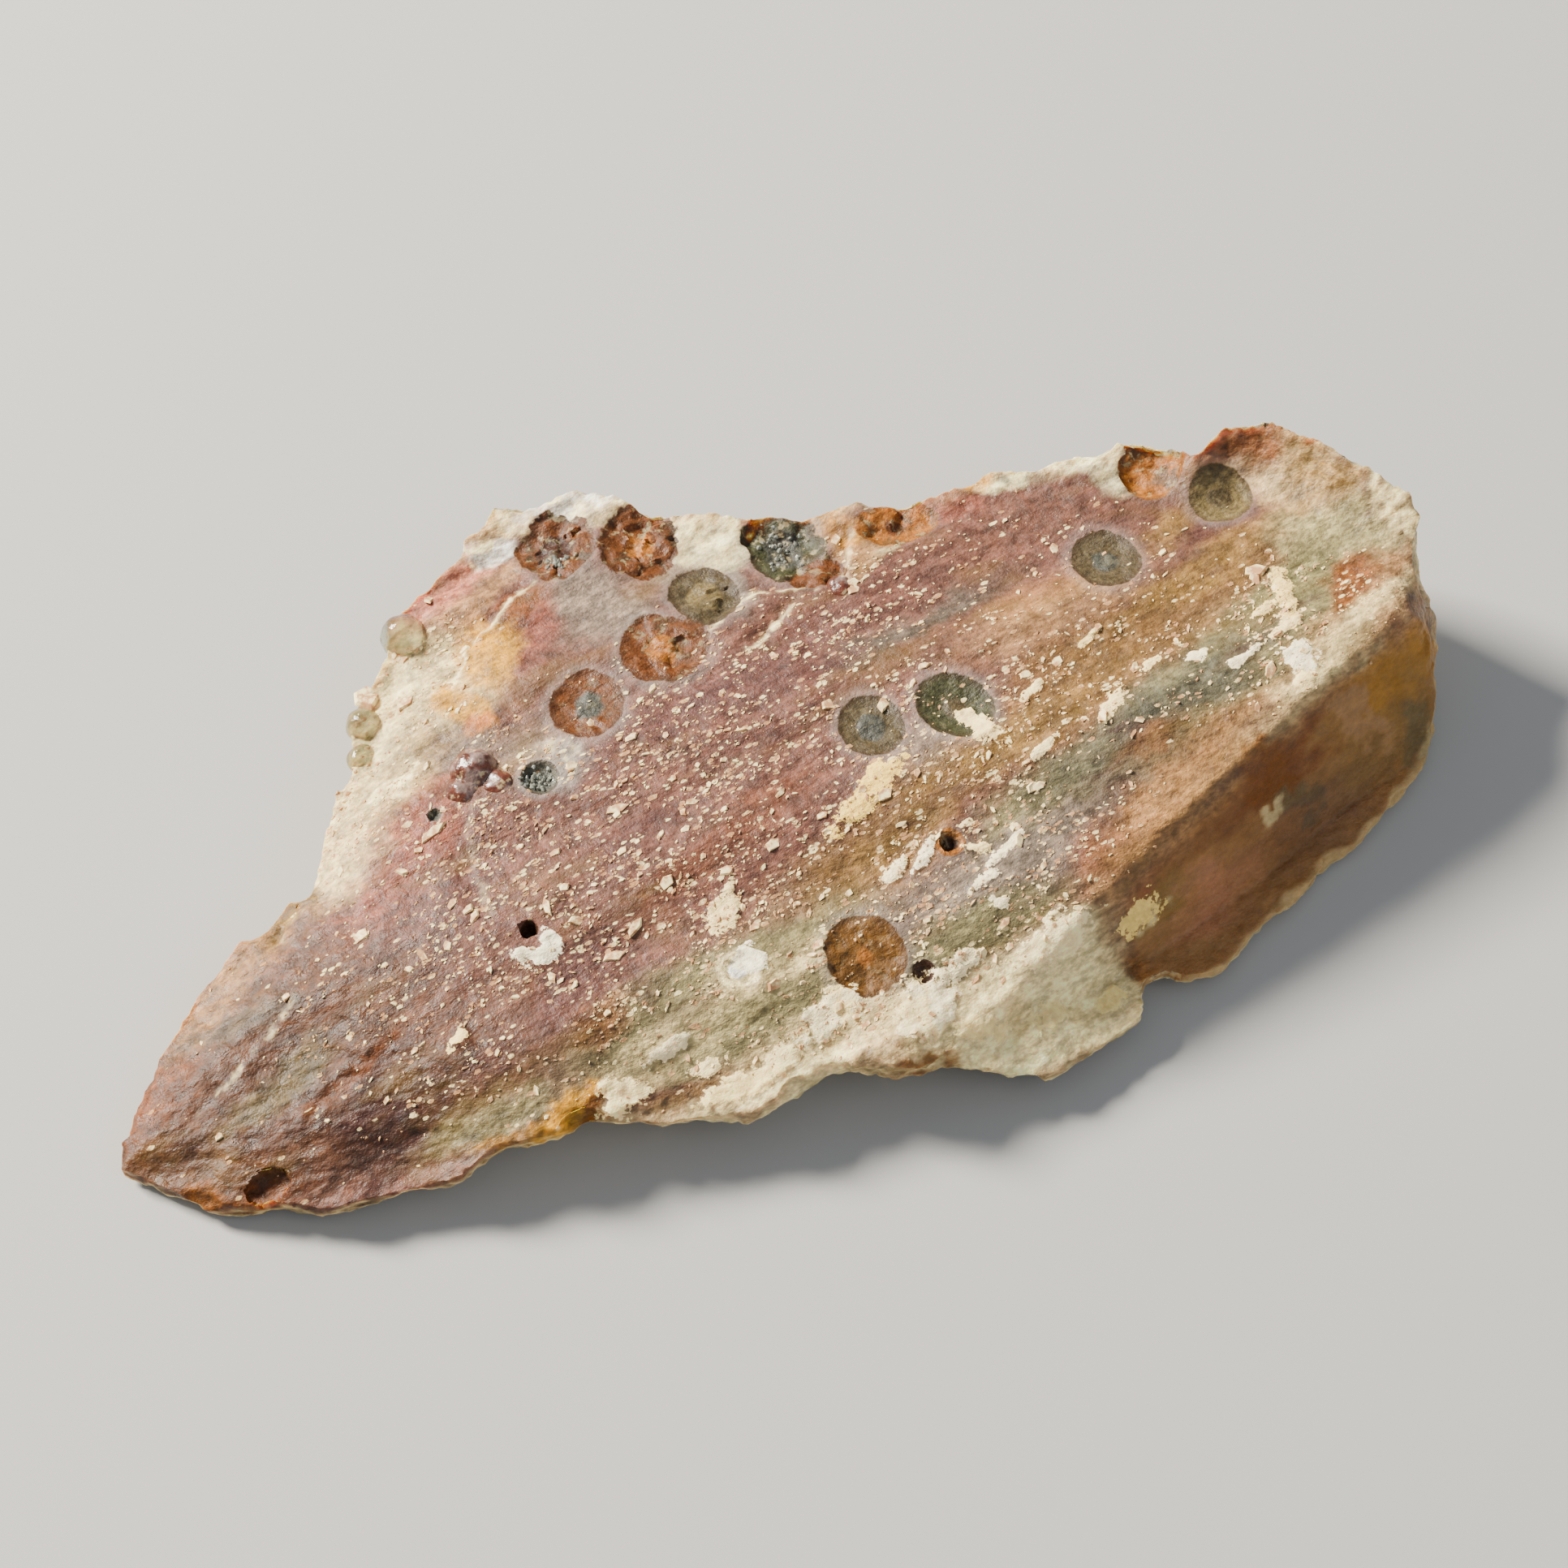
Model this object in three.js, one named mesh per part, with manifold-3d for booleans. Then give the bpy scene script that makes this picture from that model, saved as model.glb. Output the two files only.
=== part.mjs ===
// Rough ocean jasper: one knapped piece of orbicular chalcedony, lying on its flatter side.
// Millimetres, +Z up, +X from the thin tip to the thick end. The origin is under the middle of
// the piece, on the surface it rests on.

import * as THREE from 'three';
import { mergeVertices } from 'three/addons/utils/BufferGeometryUtils.js';
import Module from 'manifold-3d';

const wasm = await Module();
wasm.setup();

// ---------------------------------------------------------------- driving dimensions

// The rim, clockwise from the tip: x, y, height of the underside's edge, height of the top's edge.
const RIM = [
  [-34.4, -5.7, 0.5, 1.2], [-33.6, -4.2, 0.6, 1.4], [-32.6, -3.1, 0.7, 1.6], [-31.0, -1.6, 0.9, 1.9],
  [-29.6, -0.4, 1.1, 2.1], [-28.2, 0.9, 1.3, 2.2], [-25.5, 2.3, 1.7, 2.6], [-24.4, 2.3, 1.7, 2.6],
  [-22.6, 3.3, 1.8, 2.7], [-21.6, 3.1, 2.1, 3.0], [-19.8, 6.0, 2.5, 3.4], [-18.6, 7.4, 2.7, 3.6],
  [-17.5, 8.2, 2.8, 3.7], [-17.0, 9.6, 2.9, 3.8], [-16.3, 11.2, 3.1, 4.0], [-14.8, 12.7, 3.2, 4.1],
  [-13.7, 13.7, 3.3, 4.2], [-12.2, 15.7, 3.5, 4.4], [-11.0, 16.2, 3.6, 4.6], [-9.6, 16.9, 3.8, 4.7],
  [-8.2, 17.5, 3.9, 4.8], [-7.6, 18.4, 4.0, 4.9], [-6.6, 18.6, 4.1, 5.0], [-5.6, 19.7, 4.2, 5.0],
  [-4.9, 19.2, 4.3, 5.1], [-3.6, 18.5, 4.3, 5.1], [-2.4, 18.7, 4.3, 5.1], [-1.2, 18.3, 4.3, 5.2],
  [0.2, 17.2, 4.4, 5.3], [1.3, 15.6, 4.5, 5.4], [4.2, 14.1, 4.7, 5.6], [5.4, 13.0, 4.8, 5.7],
  [6.7, 12.7, 4.8, 5.8], [7.9, 11.7, 4.9, 5.8], [10.8, 11.2, 5.0, 6.0], [12.5, 10.1, 5.2, 6.2],
  [15.3, 9.7, 5.5, 6.5], [17.0, 9.7, 5.7, 6.7], [19.7, 8.8, 6.0, 7.0], [22.4, 8.0, 6.3, 7.5],
  [23.9, 8.0, 6.3, 7.8], [25.4, 6.7, 6.4, 8.1], [26.4, 5.1, 6.4, 8.5], [28.2, 5.6, 6.4, 9.2],
  [30.2, 4.7, 6.1, 9.6], [31.0, 3.3, 5.7, 9.8], [31.8, 2.5, 5.3, 10.0], [32.5, 0.8, 4.7, 10.0],
  [33.3, -0.4, 4.1, 9.9], [34.2, -2.0, 3.3, 9.5], [34.4, -3.3, 2.6, 8.8], [34.1, -5.0, 1.8, 7.2],
  [33.9, -6.6, 1.2, 4.6], [33.4, -8.5, 0.8, 2.6], [32.3, -10.4, 0.6, 1.6], [30.4, -12.2, 0.5, 1.4],
  [27.2, -13.6, 0.5, 1.2], [25.3, -14.4, 0.4, 1.1], [23.9, -14.6, 0.4, 1.1], [21.3, -15.8, 0.4, 1.0],
  [18.1, -16.8, 0.5, 1.1], [16.2, -17.8, 0.6, 1.3], [14.9, -17.8, 0.9, 2.2], [13.0, -17.4, 1.3, 3.2],
  [12.2, -17.2, 1.4, 3.4], [11.1, -18.7, 1.2, 2.2], [9.4, -19.0, 1.0, 1.8], [6.8, -19.5, 1.2, 1.9],
  [5.7, -19.7, 1.3, 2.0], [4.3, -19.0, 1.6, 2.4], [2.1, -17.9, 2.4, 3.4], [1.3, -17.5, 2.7, 4.0],
  [0.5, -17.9, 2.6, 4.2], [-1.0, -17.2, 2.7, 4.2], [-2.0, -16.5, 2.8, 4.0], [-3.4, -15.9, 2.8, 3.6],
  [-5.1, -16.0, 2.4, 3.7], [-7.6, -16.2, 2.2, 3.2], [-9.9, -15.3, 2.4, 3.2], [-11.3, -15.0, 2.4, 3.2],
  [-14.4, -13.6, 3.0, 3.8], [-15.8, -13.6, 2.7, 3.8], [-18.2, -13.1, 2.3, 3.3], [-19.7, -13.1, 2.0, 3.0],
  [-20.7, -13.3, 1.7, 2.6], [-23.2, -12.6, 1.2, 2.2], [-25.0, -12.2, 0.9, 2.0], [-26.6, -11.9, 0.6, 1.7],
  [-28.3, -10.7, 0.6, 1.7], [-30.0, -10.1, 0.4, 1.5], [-31.3, -9.3, 0.3, 1.3], [-32.4, -8.0, 0.3, 1.1],
];

const TOP_GRID = 1.05;          // spacing of the points that carry the broken top
const UNDERSIDE_GRID = 1.75;    // the underside is plainer
const GRID_REACH = { x: 39, y: 33 };
const GRID_TURN = 23;           // degrees: the points run along the steep face's ridge
const SLAB_TOP = 14;            // above the highest point
const SLAB_FLOOR = -3;          // below the resting surface
const MIN_THICKNESS = 0.6;
const RIDGE_SOFTNESS = 0.6;     // how far a ridge between two broken faces is worn round
const STEEP_SOFTNESS = 0.35;
const UNDERSIDE_SOFTNESS = 0.5;
const UNDERSIDE_CEILING = 6;
const UNDERSIDE_ROLL = 5;
const SCAR_FADE = 2;            // scars of the underside fade out this near the rim

// The long face of the top and the lower one at the tip: height at x, rise along the length, and
// how they bow down on both sides of their crest. The flank behind them is a plain slope.
const MAIN_FACE = {
  x: 0, height: 6.5, slope: 0.075, hollow: 0.001, crestY: -1, bowFront: 0.009, bowBack: 0.0035,
};
const TIP_FACE = {
  x: -30.4, height: 2.3, slope: 0.22, hollow: 0, crestY: -5, bowFront: 0.02, bowBack: 0.006,
};
const BACK_FLANK = { x: -11.6, y: 9.6, height: 5.5, slopeX: 0.03, slopeY: -0.09 };

// Width over which the top rolls down to the rim. It is wider in front, left of the steep faces.
const TOP_ROLL = { back: 3.2, front: 4.8, frontY: [0, -10], frontX: [12, 6] };

// Long, low waves that the break left along the length of the top.
const WAVES = { height: 0.12, spacing: 6.4, wander: 0.9, wanderLength: 15 };

// The spot it rests on: the lowest part of the bowed underside, cut flat.
const REST = { x: 4.4, y: -3.0, depth: 0.21, bowX: 0.0015, bowY: 0.006 };

// Flanks of the underside: the back one starts on a slanting line and grows steeper towards the
// thick end, and the front one fades out under the steep faces.
const BACK_UNDERCUT = { slope: 0.26, steepening: 0.006, slant: 0.25, startY: 0.3 };
const FRONT_UNDERCUT = { slope: 0.32, startY: -9, fadeX: [14, 4] };

// Steep broken faces of the thick end, each through three points.
const STEEP_FACES = [
  [[23.5, -10.3, 7.9], [14.2, -14.8, 5.7], [22.3, -15.3, 1.0]],
  [[30.7, -7.8, 8.4], [25.9, -9.2, 8.2], [31.5, -11.3, 1.2]],
  [[29.5, -3.0, 9.9], [31.0, -6.0, 8.9], [34.0, -1.0, 9.6]],
];

// Shallow scars that flakes left: x, y, radius, depth at the middle.
const TOP_SCARS = [
  [4.2, 12.4, 6.4, 0.55], [-6.5, 19.0, 5.4, 0.6], [-28.4, -0.2, 3.6, 0.3], [-25.0, -5.2, 2.9, 0.3],
  [-22.3, -10.4, 3.8, 0.4], [-14.5, 9.0, 4.0, 0.25], [14.5, 6.5, 6.0, 0.3], [-9.5, -13.0, 4.5, 0.35],
  [5.5, -16.5, 3.6, 0.35], [28.2, -3.6, 3.0, 0.2], [2.0, -8.0, 6.5, 0.2],
];
const UNDERSIDE_SCARS = [
  [-18, -3, 7, 0.5], [-5, -13, 5, 0.5], [10, 5, 6, 0.7], [24, -10, 5, 0.35], [-8, 9, 6, 0.7],
  [21, -1, 5.5, 0.6], [8, -15, 4.5, 0.45], [-27, -6, 4, 0.35], [1, 10, 5, 0.5], [-20, 4, 4.5, 0.4],
];

// Dents in the steep faces: where they are, which way they face, radius of the ball, depth.
const DENTS = [
  { at: [21.4, -12.9, 4.6], facing: [0.15, -0.85, 0.5], radius: 4.2, depth: 0.5 },
  { at: [27.6, -11.6, 4.4], facing: [0.35, -0.85, 0.4], radius: 4.5, depth: 0.5 },
  { at: [33.6, -4.9, 6.6], facing: [0.8, -0.45, 0.4], radius: 5.0, depth: 0.3 },
  { at: [16.3, -15.9, 3.0], facing: [-0.1, -0.85, 0.5], radius: 3.4, depth: 0.35 },
];

// Orbs that the break went through stand open as shallow sockets: x, y, width along x and y, depth.
const SOCKETS = [
  [-3.6, 16.1, 4.1, 3.3, 0.45], [0.7, 14.2, 4.4, 3.6, 0.45], [1.7, 9.4, 3.4, 3.2, 0.3],
  [-1.4, 7.5, 4.8, 3.6, 0.4], [-6.2, 5.9, 3.7, 3.5, 0.35], [5.3, -1.7, 3.4, 3.3, 0.25],
  [9.3, -2.2, 3.7, 3.3, 0.4], [19.8, 2.1, 3.5, 3.4, 0.35], [26.7, 3.0, 3.3, 3.0, 0.35],
  [24.5, 5.9, 3.3, 2.4, 0.6], [12.1, 9.0, 3.9, 2.2, 0.4], [6.2, 10.6, 5.6, 4.4, 0.6],
  [0.1, -12.0, 3.9, 3.3, 0.4], [-5.8, -10.3, 2.9, 2.7, 0.3], [-13.7, -5.1, 2.4, 2.3, 0.25],
];

// Small holes: x, y, radius, depth.
const PITS = [
  [-9.9, 2.8, 0.85, 0.7], [-13.5, -4.5, 0.5, 0.8], [2.1, -13.9, 0.5, 0.4], [5.8, -8.9, 0.5, 0.4],
];

// Grape-like lumps: x, y, height of the middle, radius.
const LUMPS = [
  [-12.5, 14.5, 3.8, 1.2], [-16.1, 10.6, 3.5, 0.95], [-16.8, 8.9, 3.3, 0.85],
  [-12.5, 4.5, 5.1, 0.95], [-11.4, 3.9, 5.1, 0.85], [-12.8, 3.5, 5.0, 0.65], [-4.4, 8.5, 4.9, 0.6],
  [7.7, 6.7, 5.8, 0.9],
];

// Bites out of the rim: middle and half widths.
const BITES = [
  { at: [-14.9, -14.3, 3.9], half: [1.5, 1.3, 1.0] },
  { at: [-29.2, -10.2, 1.3], half: [1.6, 1.3, 0.55] },
  { at: [-31.3, -9.6, 1.5], half: [0.8, 0.8, 0.6] },
  { at: [-23.3, 3.3, 3.1], half: [1.5, 0.9, 0.7] },
  { at: [13.0, -18.3, 2.1], half: [1.5, 1.3, 1.4] },
  { at: [0.2, -18.6, 3.1], half: [2.4, 1.3, 0.8] },
];

const SOCKET_BALL_RISE = 2.2;   // half height of the ball that dips into the top for a socket
const SIDES = { socket: 20, pit: 8, lump: 12, bite: 10, dent: 24 };
const RINGS_PER_SIDE = 0.6;
const RESTING_CUT_DEPTH = 4;
const MERGE_DISTANCE = 1e-5;

// ---------------------------------------------------------------- the broken faces as heights

const smooth = (from, to, v) => {
  const t = Math.min(Math.max((v - from) / (to - from), 0), 1);
  return t * t * (3 - 2 * t);
};

// Steep at the rim, level further in.
const ease = (t) => 1 - (1 - Math.min(Math.max(t, 0), 1)) ** 2;

// The lower of two faces, with the ridge between them worn round.
const lower = (a, b, softness) => {
  const t = Math.min(Math.max(0.5 + (0.5 * (b - a)) / softness, 0), 1);
  return b + (a - b) * t - softness * t * (1 - t);
};
const upper = (a, b, softness) => -lower(-a, -b, softness);

// A bow that falls away faster on one side of its crest than on the other.
const bow = (t, before, after) => (t < 0 ? before : after) * t * t;

function faceThrough([a, b, c]) {
  const plane = new THREE.Plane().setFromCoplanarPoints(
    new THREE.Vector3(...a), new THREE.Vector3(...b), new THREE.Vector3(...c));
  return (x, y) => -(plane.normal.x * x + plane.normal.y * y + plane.constant) / plane.normal.z;
}
const steepFaces = STEEP_FACES.map(faceThrough);

// The rim at its nearest point: distance, negative outside, and the heights of its two edges.
function nearestRim(x, y) {
  let nearest = Infinity;
  let inside = false;
  let low = 0;
  let high = 0;
  RIM.forEach(([ax, ay, aLow, aHigh], i) => {
    const [bx, by, bLow, bHigh] = RIM[(i + 1) % RIM.length];
    const run = (x - ax) * (bx - ax) + (y - ay) * (by - ay);
    const t = Math.min(Math.max(run / ((bx - ax) ** 2 + (by - ay) ** 2), 0), 1);
    const gap = Math.hypot(x - ax - t * (bx - ax), y - ay - t * (by - ay));
    if (gap < nearest) {
      nearest = gap;
      low = aLow + t * (bLow - aLow);
      high = aHigh + t * (bHigh - aHigh);
    }
    if ((ay > y) !== (by > y) && x < ax + ((y - ay) / (by - ay)) * (bx - ax)) {
      inside = !inside;
    }
  });
  return { depth: inside ? nearest : -nearest, low, high };
}

const scarDepth = (scars, x, y) => scars.reduce((sum, [cx, cy, radius, depth]) => {
  const r = Math.hypot(x - cx, y - cy) / radius;
  return sum + depth * Math.max(1 - r * r, 0);
}, 0);

function undersideAt(x, y, rim = nearestRim(x, y)) {
  const belly = REST.bowX * (x - REST.x) ** 2 + REST.bowY * (y - REST.y) ** 2 - REST.depth;
  const backSlope = BACK_UNDERCUT.slope + BACK_UNDERCUT.steepening * x;
  const back = backSlope * (y + BACK_UNDERCUT.slant * x - BACK_UNDERCUT.startY);
  const front = FRONT_UNDERCUT.slope * (FRONT_UNDERCUT.startY - y) * smooth(...FRONT_UNDERCUT.fadeX, x);
  const flanked = upper(upper(belly, back, UNDERSIDE_SOFTNESS), front, UNDERSIDE_SOFTNESS);
  const inner = Math.min(flanked, UNDERSIDE_CEILING);
  const scars = scarDepth(UNDERSIDE_SCARS, x, y) * ease(rim.depth / SCAR_FADE);
  return rim.low + (inner - rim.low) * ease(rim.depth / UNDERSIDE_ROLL) + scars;
}

function longFace(face, x, y) {
  const run = x - face.x;
  const along = face.height + face.slope * run + face.hollow * run * run;
  return along - bow(y - face.crestY, face.bowFront, face.bowBack);
}

function topAt(x, y) {
  const rim = nearestRim(x, y);
  const long = lower(longFace(MAIN_FACE, x, y), longFace(TIP_FACE, x, y), RIDGE_SOFTNESS);
  const backFlank = BACK_FLANK.height + BACK_FLANK.slopeX * (x - BACK_FLANK.x)
    + BACK_FLANK.slopeY * (y - BACK_FLANK.y);
  const inner = lower(long, backFlank, RIDGE_SOFTNESS);
  const wavePhase = y / WAVES.spacing + (WAVES.wander * Math.sin(x / WAVES.wanderLength)) / Math.PI;
  const waves = WAVES.height * Math.sin(2 * Math.PI * wavePhase);
  const frontness = smooth(...TOP_ROLL.frontY, y) * smooth(...TOP_ROLL.frontX, x);
  const roll = TOP_ROLL.back + (TOP_ROLL.front - TOP_ROLL.back) * frontness;
  let z = rim.high + (inner + waves - rim.high) * ease(rim.depth / roll);
  for (const steep of steepFaces) {
    z = lower(z, steep(x, y), STEEP_SOFTNESS);
  }
  z -= scarDepth(TOP_SCARS, x, y);
  return Math.max(z, undersideAt(x, y, rim) + MIN_THICKNESS);
}

// ---------------------------------------------------------------- solids

function solidOf(geometry) {
  const bare = geometry.clone();
  bare.deleteAttribute('normal');
  bare.deleteAttribute('uv');
  const merged = mergeVertices(bare, MERGE_DISTANCE);
  return new wasm.Manifold(new wasm.Mesh({
    numProp: 3,
    vertProperties: new Float32Array(merged.attributes.position.array),
    triVerts: new Uint32Array(merged.index.array),
  }));
}

function geometryOf(solid) {
  const { vertProperties, triVerts } = solid.getMesh();
  const geometry = new THREE.BufferGeometry();
  geometry.setAttribute('position', new THREE.BufferAttribute(vertProperties, 3));
  geometry.setIndex(new THREE.BufferAttribute(triVerts, 1));
  geometry.computeVertexNormals();
  return geometry;
}

// A block whose one face follows heightAt, and whose other is flat at lid: the stone lies
// between the carved side and the lid.
function carvedBlock(heightAt, spacing, lid) {
  const columns = Math.round((2 * GRID_REACH.x) / spacing);
  const rows = Math.round((2 * GRID_REACH.y) / spacing);
  const block = new THREE.BoxGeometry(2 * GRID_REACH.x, 2 * GRID_REACH.y, 1, columns, rows, 1);
  block.rotateZ(THREE.MathUtils.degToRad(GRID_TURN));
  const position = block.attributes.position;
  const lidIsAbove = lid > 0;
  for (let i = 0; i < position.count; i += 1) {
    const isLid = (position.getZ(i) > 0) === lidIsAbove;
    position.setZ(i, isLid ? lid : heightAt(position.getX(i), position.getY(i)));
  }
  return solidOf(block);
}

function outlinePrism() {
  const outline = new THREE.Shape(RIM.map(([x, y]) => new THREE.Vector2(x, y)));
  const prism = new THREE.ExtrudeGeometry(outline, { depth: SLAB_TOP - SLAB_FLOOR, bevelEnabled: false });
  prism.translate(0, 0, SLAB_FLOOR);
  return solidOf(prism);
}

function restingCut() {
  const below = new THREE.BoxGeometry(2 * GRID_REACH.x, 2 * GRID_REACH.y, RESTING_CUT_DEPTH);
  below.translate(0, 0, -RESTING_CUT_DEPTH / 2);
  return solidOf(below);
}

function ball([x, y, z], [rx, ry, rz], sides) {
  const geometry = new THREE.SphereGeometry(1, sides, Math.round(sides * RINGS_PER_SIDE));
  geometry.scale(rx, ry, rz);
  geometry.translate(x, y, z);
  return solidOf(geometry);
}

// A ball that only dips into the top: it cuts a socket of the given width and depth.
function socket([x, y, across, along, depth]) {
  const rise = SOCKET_BALL_RISE;
  const widthShare = 2 * Math.sqrt(1 - (1 - depth / rise) ** 2);
  const half = [across / widthShare, along / widthShare, rise];
  return ball([x, y, topAt(x, y) + rise - depth], half, SIDES.socket);
}

const pit = ([x, y, radius, depth]) => ball([x, y, topAt(x, y)], [radius, radius, depth], SIDES.pit);
const lump = ([x, y, z, radius]) => ball([x, y, z], [radius, radius, radius], SIDES.lump);
const bite = ({ at, half }) => ball(at, half, SIDES.bite);

function dent({ at, facing, radius, depth }) {
  const out = new THREE.Vector3(...facing).normalize().multiplyScalar(radius - depth);
  const middle = new THREE.Vector3(...at).add(out);
  return ball(middle.toArray(), [radius, radius, radius], SIDES.dent);
}

function stone() {
  let solid = outlinePrism()
    .intersect(carvedBlock(topAt, TOP_GRID, SLAB_FLOOR))
    .intersect(carvedBlock(undersideAt, UNDERSIDE_GRID, SLAB_TOP));
  const hollows = [
    ...SOCKETS.map(socket), ...PITS.map(pit), ...BITES.map(bite), ...DENTS.map(dent), restingCut(),
  ];
  for (const grown of LUMPS.map(lump)) {
    solid = solid.add(grown);
  }
  for (const hollow of hollows) {
    solid = solid.subtract(hollow);
  }
  return geometryOf(solid);
}

// ---------------------------------------------------------------- the part

const jasper = new THREE.MeshStandardMaterial({ color: 0xa87860, roughness: 0.55, metalness: 0 });

const jasperStone = new THREE.Mesh(stone(), jasper);
jasperStone.name = 'jasper_stone';

const roughOceanJasper = new THREE.Group();
roughOceanJasper.add(jasperStone);

export default roughOceanJasper;
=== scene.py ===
import math
from collections import namedtuple
from itertools import product

import bpy
import numpy as np
from mathutils import Matrix, Vector
from mathutils.bvhtree import BVHTree


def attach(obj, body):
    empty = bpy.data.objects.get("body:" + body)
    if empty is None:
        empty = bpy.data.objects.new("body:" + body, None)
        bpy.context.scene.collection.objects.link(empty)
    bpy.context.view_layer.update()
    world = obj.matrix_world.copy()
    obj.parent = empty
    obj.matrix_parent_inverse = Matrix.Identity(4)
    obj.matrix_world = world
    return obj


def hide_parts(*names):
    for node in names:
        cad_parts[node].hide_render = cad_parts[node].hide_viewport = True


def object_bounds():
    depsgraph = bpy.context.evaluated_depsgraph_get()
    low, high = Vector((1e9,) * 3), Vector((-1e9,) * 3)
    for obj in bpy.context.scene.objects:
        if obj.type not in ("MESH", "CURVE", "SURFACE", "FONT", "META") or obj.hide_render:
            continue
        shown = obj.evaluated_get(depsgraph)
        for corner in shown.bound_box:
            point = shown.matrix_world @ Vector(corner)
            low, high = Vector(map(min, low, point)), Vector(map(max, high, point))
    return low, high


bl_info = {
    "name": "Rough Ocean Jasper",
    "version": (1, 0, 0),
    "blender": (4, 5, 0),
    "location": "View3D > Sidebar > Jasper",
    "description": "Makes a rough broken piece of orbicular jasper on a plain pale floor",
    "category": "Add Mesh",
}

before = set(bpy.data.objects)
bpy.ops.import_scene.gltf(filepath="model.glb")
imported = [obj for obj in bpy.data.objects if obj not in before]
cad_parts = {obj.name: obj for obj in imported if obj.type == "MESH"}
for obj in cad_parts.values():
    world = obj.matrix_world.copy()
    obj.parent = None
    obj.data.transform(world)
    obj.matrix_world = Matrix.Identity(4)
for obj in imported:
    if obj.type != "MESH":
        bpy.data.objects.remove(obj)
CAD_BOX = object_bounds()
NODE = "jasper_stone"
MM = 0.001

# ------------------------------------------------------------------ the stone's own measures, in mm
# +X runs from the thin tip to the thick end, +Z up, and the resting surface is at 0.

# The rim, clockwise from the tip: x, y, height of the underside's edge, height of the top's edge.
RIM = np.array([
    (-34.4, -5.7, 0.5, 1.2), (-33.6, -4.2, 0.6, 1.4), (-32.6, -3.1, 0.7, 1.6), (-31.0, -1.6, 0.9, 1.9),
    (-29.6, -0.4, 1.1, 2.1), (-28.2, 0.9, 1.3, 2.2), (-25.5, 2.3, 1.7, 2.6), (-24.4, 2.3, 1.7, 2.6),
    (-22.6, 3.3, 1.8, 2.7), (-21.6, 3.1, 2.1, 3.0), (-19.8, 6.0, 2.5, 3.4), (-18.6, 7.4, 2.7, 3.6),
    (-17.5, 8.2, 2.8, 3.7), (-17.0, 9.6, 2.9, 3.8), (-16.3, 11.2, 3.1, 4.0), (-14.8, 12.7, 3.2, 4.1),
    (-13.7, 13.7, 3.3, 4.2), (-12.2, 15.7, 3.5, 4.4), (-11.0, 16.2, 3.6, 4.6), (-9.6, 16.9, 3.8, 4.7),
    (-8.2, 17.5, 3.9, 4.8), (-7.6, 18.4, 4.0, 4.9), (-6.6, 18.6, 4.1, 5.0), (-5.6, 19.7, 4.2, 5.0),
    (-4.9, 19.2, 4.3, 5.1), (-3.6, 18.5, 4.3, 5.1), (-2.4, 18.7, 4.3, 5.1), (-1.2, 18.3, 4.3, 5.2),
    (0.2, 17.2, 4.4, 5.3), (1.3, 15.6, 4.5, 5.4), (4.2, 14.1, 4.7, 5.6), (5.4, 13.0, 4.8, 5.7),
    (6.7, 12.7, 4.8, 5.8), (7.9, 11.7, 4.9, 5.8), (10.8, 11.2, 5.0, 6.0), (12.5, 10.1, 5.2, 6.2),
    (15.3, 9.7, 5.5, 6.5), (17.0, 9.7, 5.7, 6.7), (19.7, 8.8, 6.0, 7.0), (22.4, 8.0, 6.3, 7.5),
    (23.9, 8.0, 6.3, 7.8), (25.4, 6.7, 6.4, 8.1), (26.4, 5.1, 6.4, 8.5), (28.2, 5.6, 6.4, 9.2),
    (30.2, 4.7, 6.1, 9.6), (31.0, 3.3, 5.7, 9.8), (31.8, 2.5, 5.3, 10.0), (32.5, 0.8, 4.7, 10.0),
    (33.3, -0.4, 4.1, 9.9), (34.2, -2.0, 3.3, 9.5), (34.4, -3.3, 2.6, 8.8), (34.1, -5.0, 1.8, 7.2),
    (33.9, -6.6, 1.2, 4.6), (33.4, -8.5, 0.8, 2.6), (32.3, -10.4, 0.6, 1.6), (30.4, -12.2, 0.5, 1.4),
    (27.2, -13.6, 0.5, 1.2), (25.3, -14.4, 0.4, 1.1), (23.9, -14.6, 0.4, 1.1), (21.3, -15.8, 0.4, 1.0),
    (18.1, -16.8, 0.5, 1.1), (16.2, -17.8, 0.6, 1.3), (14.9, -17.8, 0.9, 2.2), (13.0, -17.4, 1.3, 3.2),
    (12.2, -17.2, 1.4, 3.4), (11.1, -18.7, 1.2, 2.2), (9.4, -19.0, 1.0, 1.8), (6.8, -19.5, 1.2, 1.9),
    (5.7, -19.7, 1.3, 2.0), (4.3, -19.0, 1.6, 2.4), (2.1, -17.9, 2.4, 3.4), (1.3, -17.5, 2.7, 4.0),
    (0.5, -17.9, 2.6, 4.2), (-1.0, -17.2, 2.7, 4.2), (-2.0, -16.5, 2.8, 4.0), (-3.4, -15.9, 2.8, 3.6),
    (-5.1, -16.0, 2.4, 3.7), (-7.6, -16.2, 2.2, 3.2), (-9.9, -15.3, 2.4, 3.2), (-11.3, -15.0, 2.4, 3.2),
    (-14.4, -13.6, 3.0, 3.8), (-15.8, -13.6, 2.7, 3.8), (-18.2, -13.1, 2.3, 3.3), (-19.7, -13.1, 2.0, 3.0),
    (-20.7, -13.3, 1.7, 2.6), (-23.2, -12.6, 1.2, 2.2), (-25.0, -12.2, 0.9, 2.0), (-26.6, -11.9, 0.6, 1.7),
    (-28.3, -10.7, 0.6, 1.7), (-30.0, -10.1, 0.4, 1.5), (-31.3, -9.3, 0.3, 1.3), (-32.4, -8.0, 0.3, 1.1),
])

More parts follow.
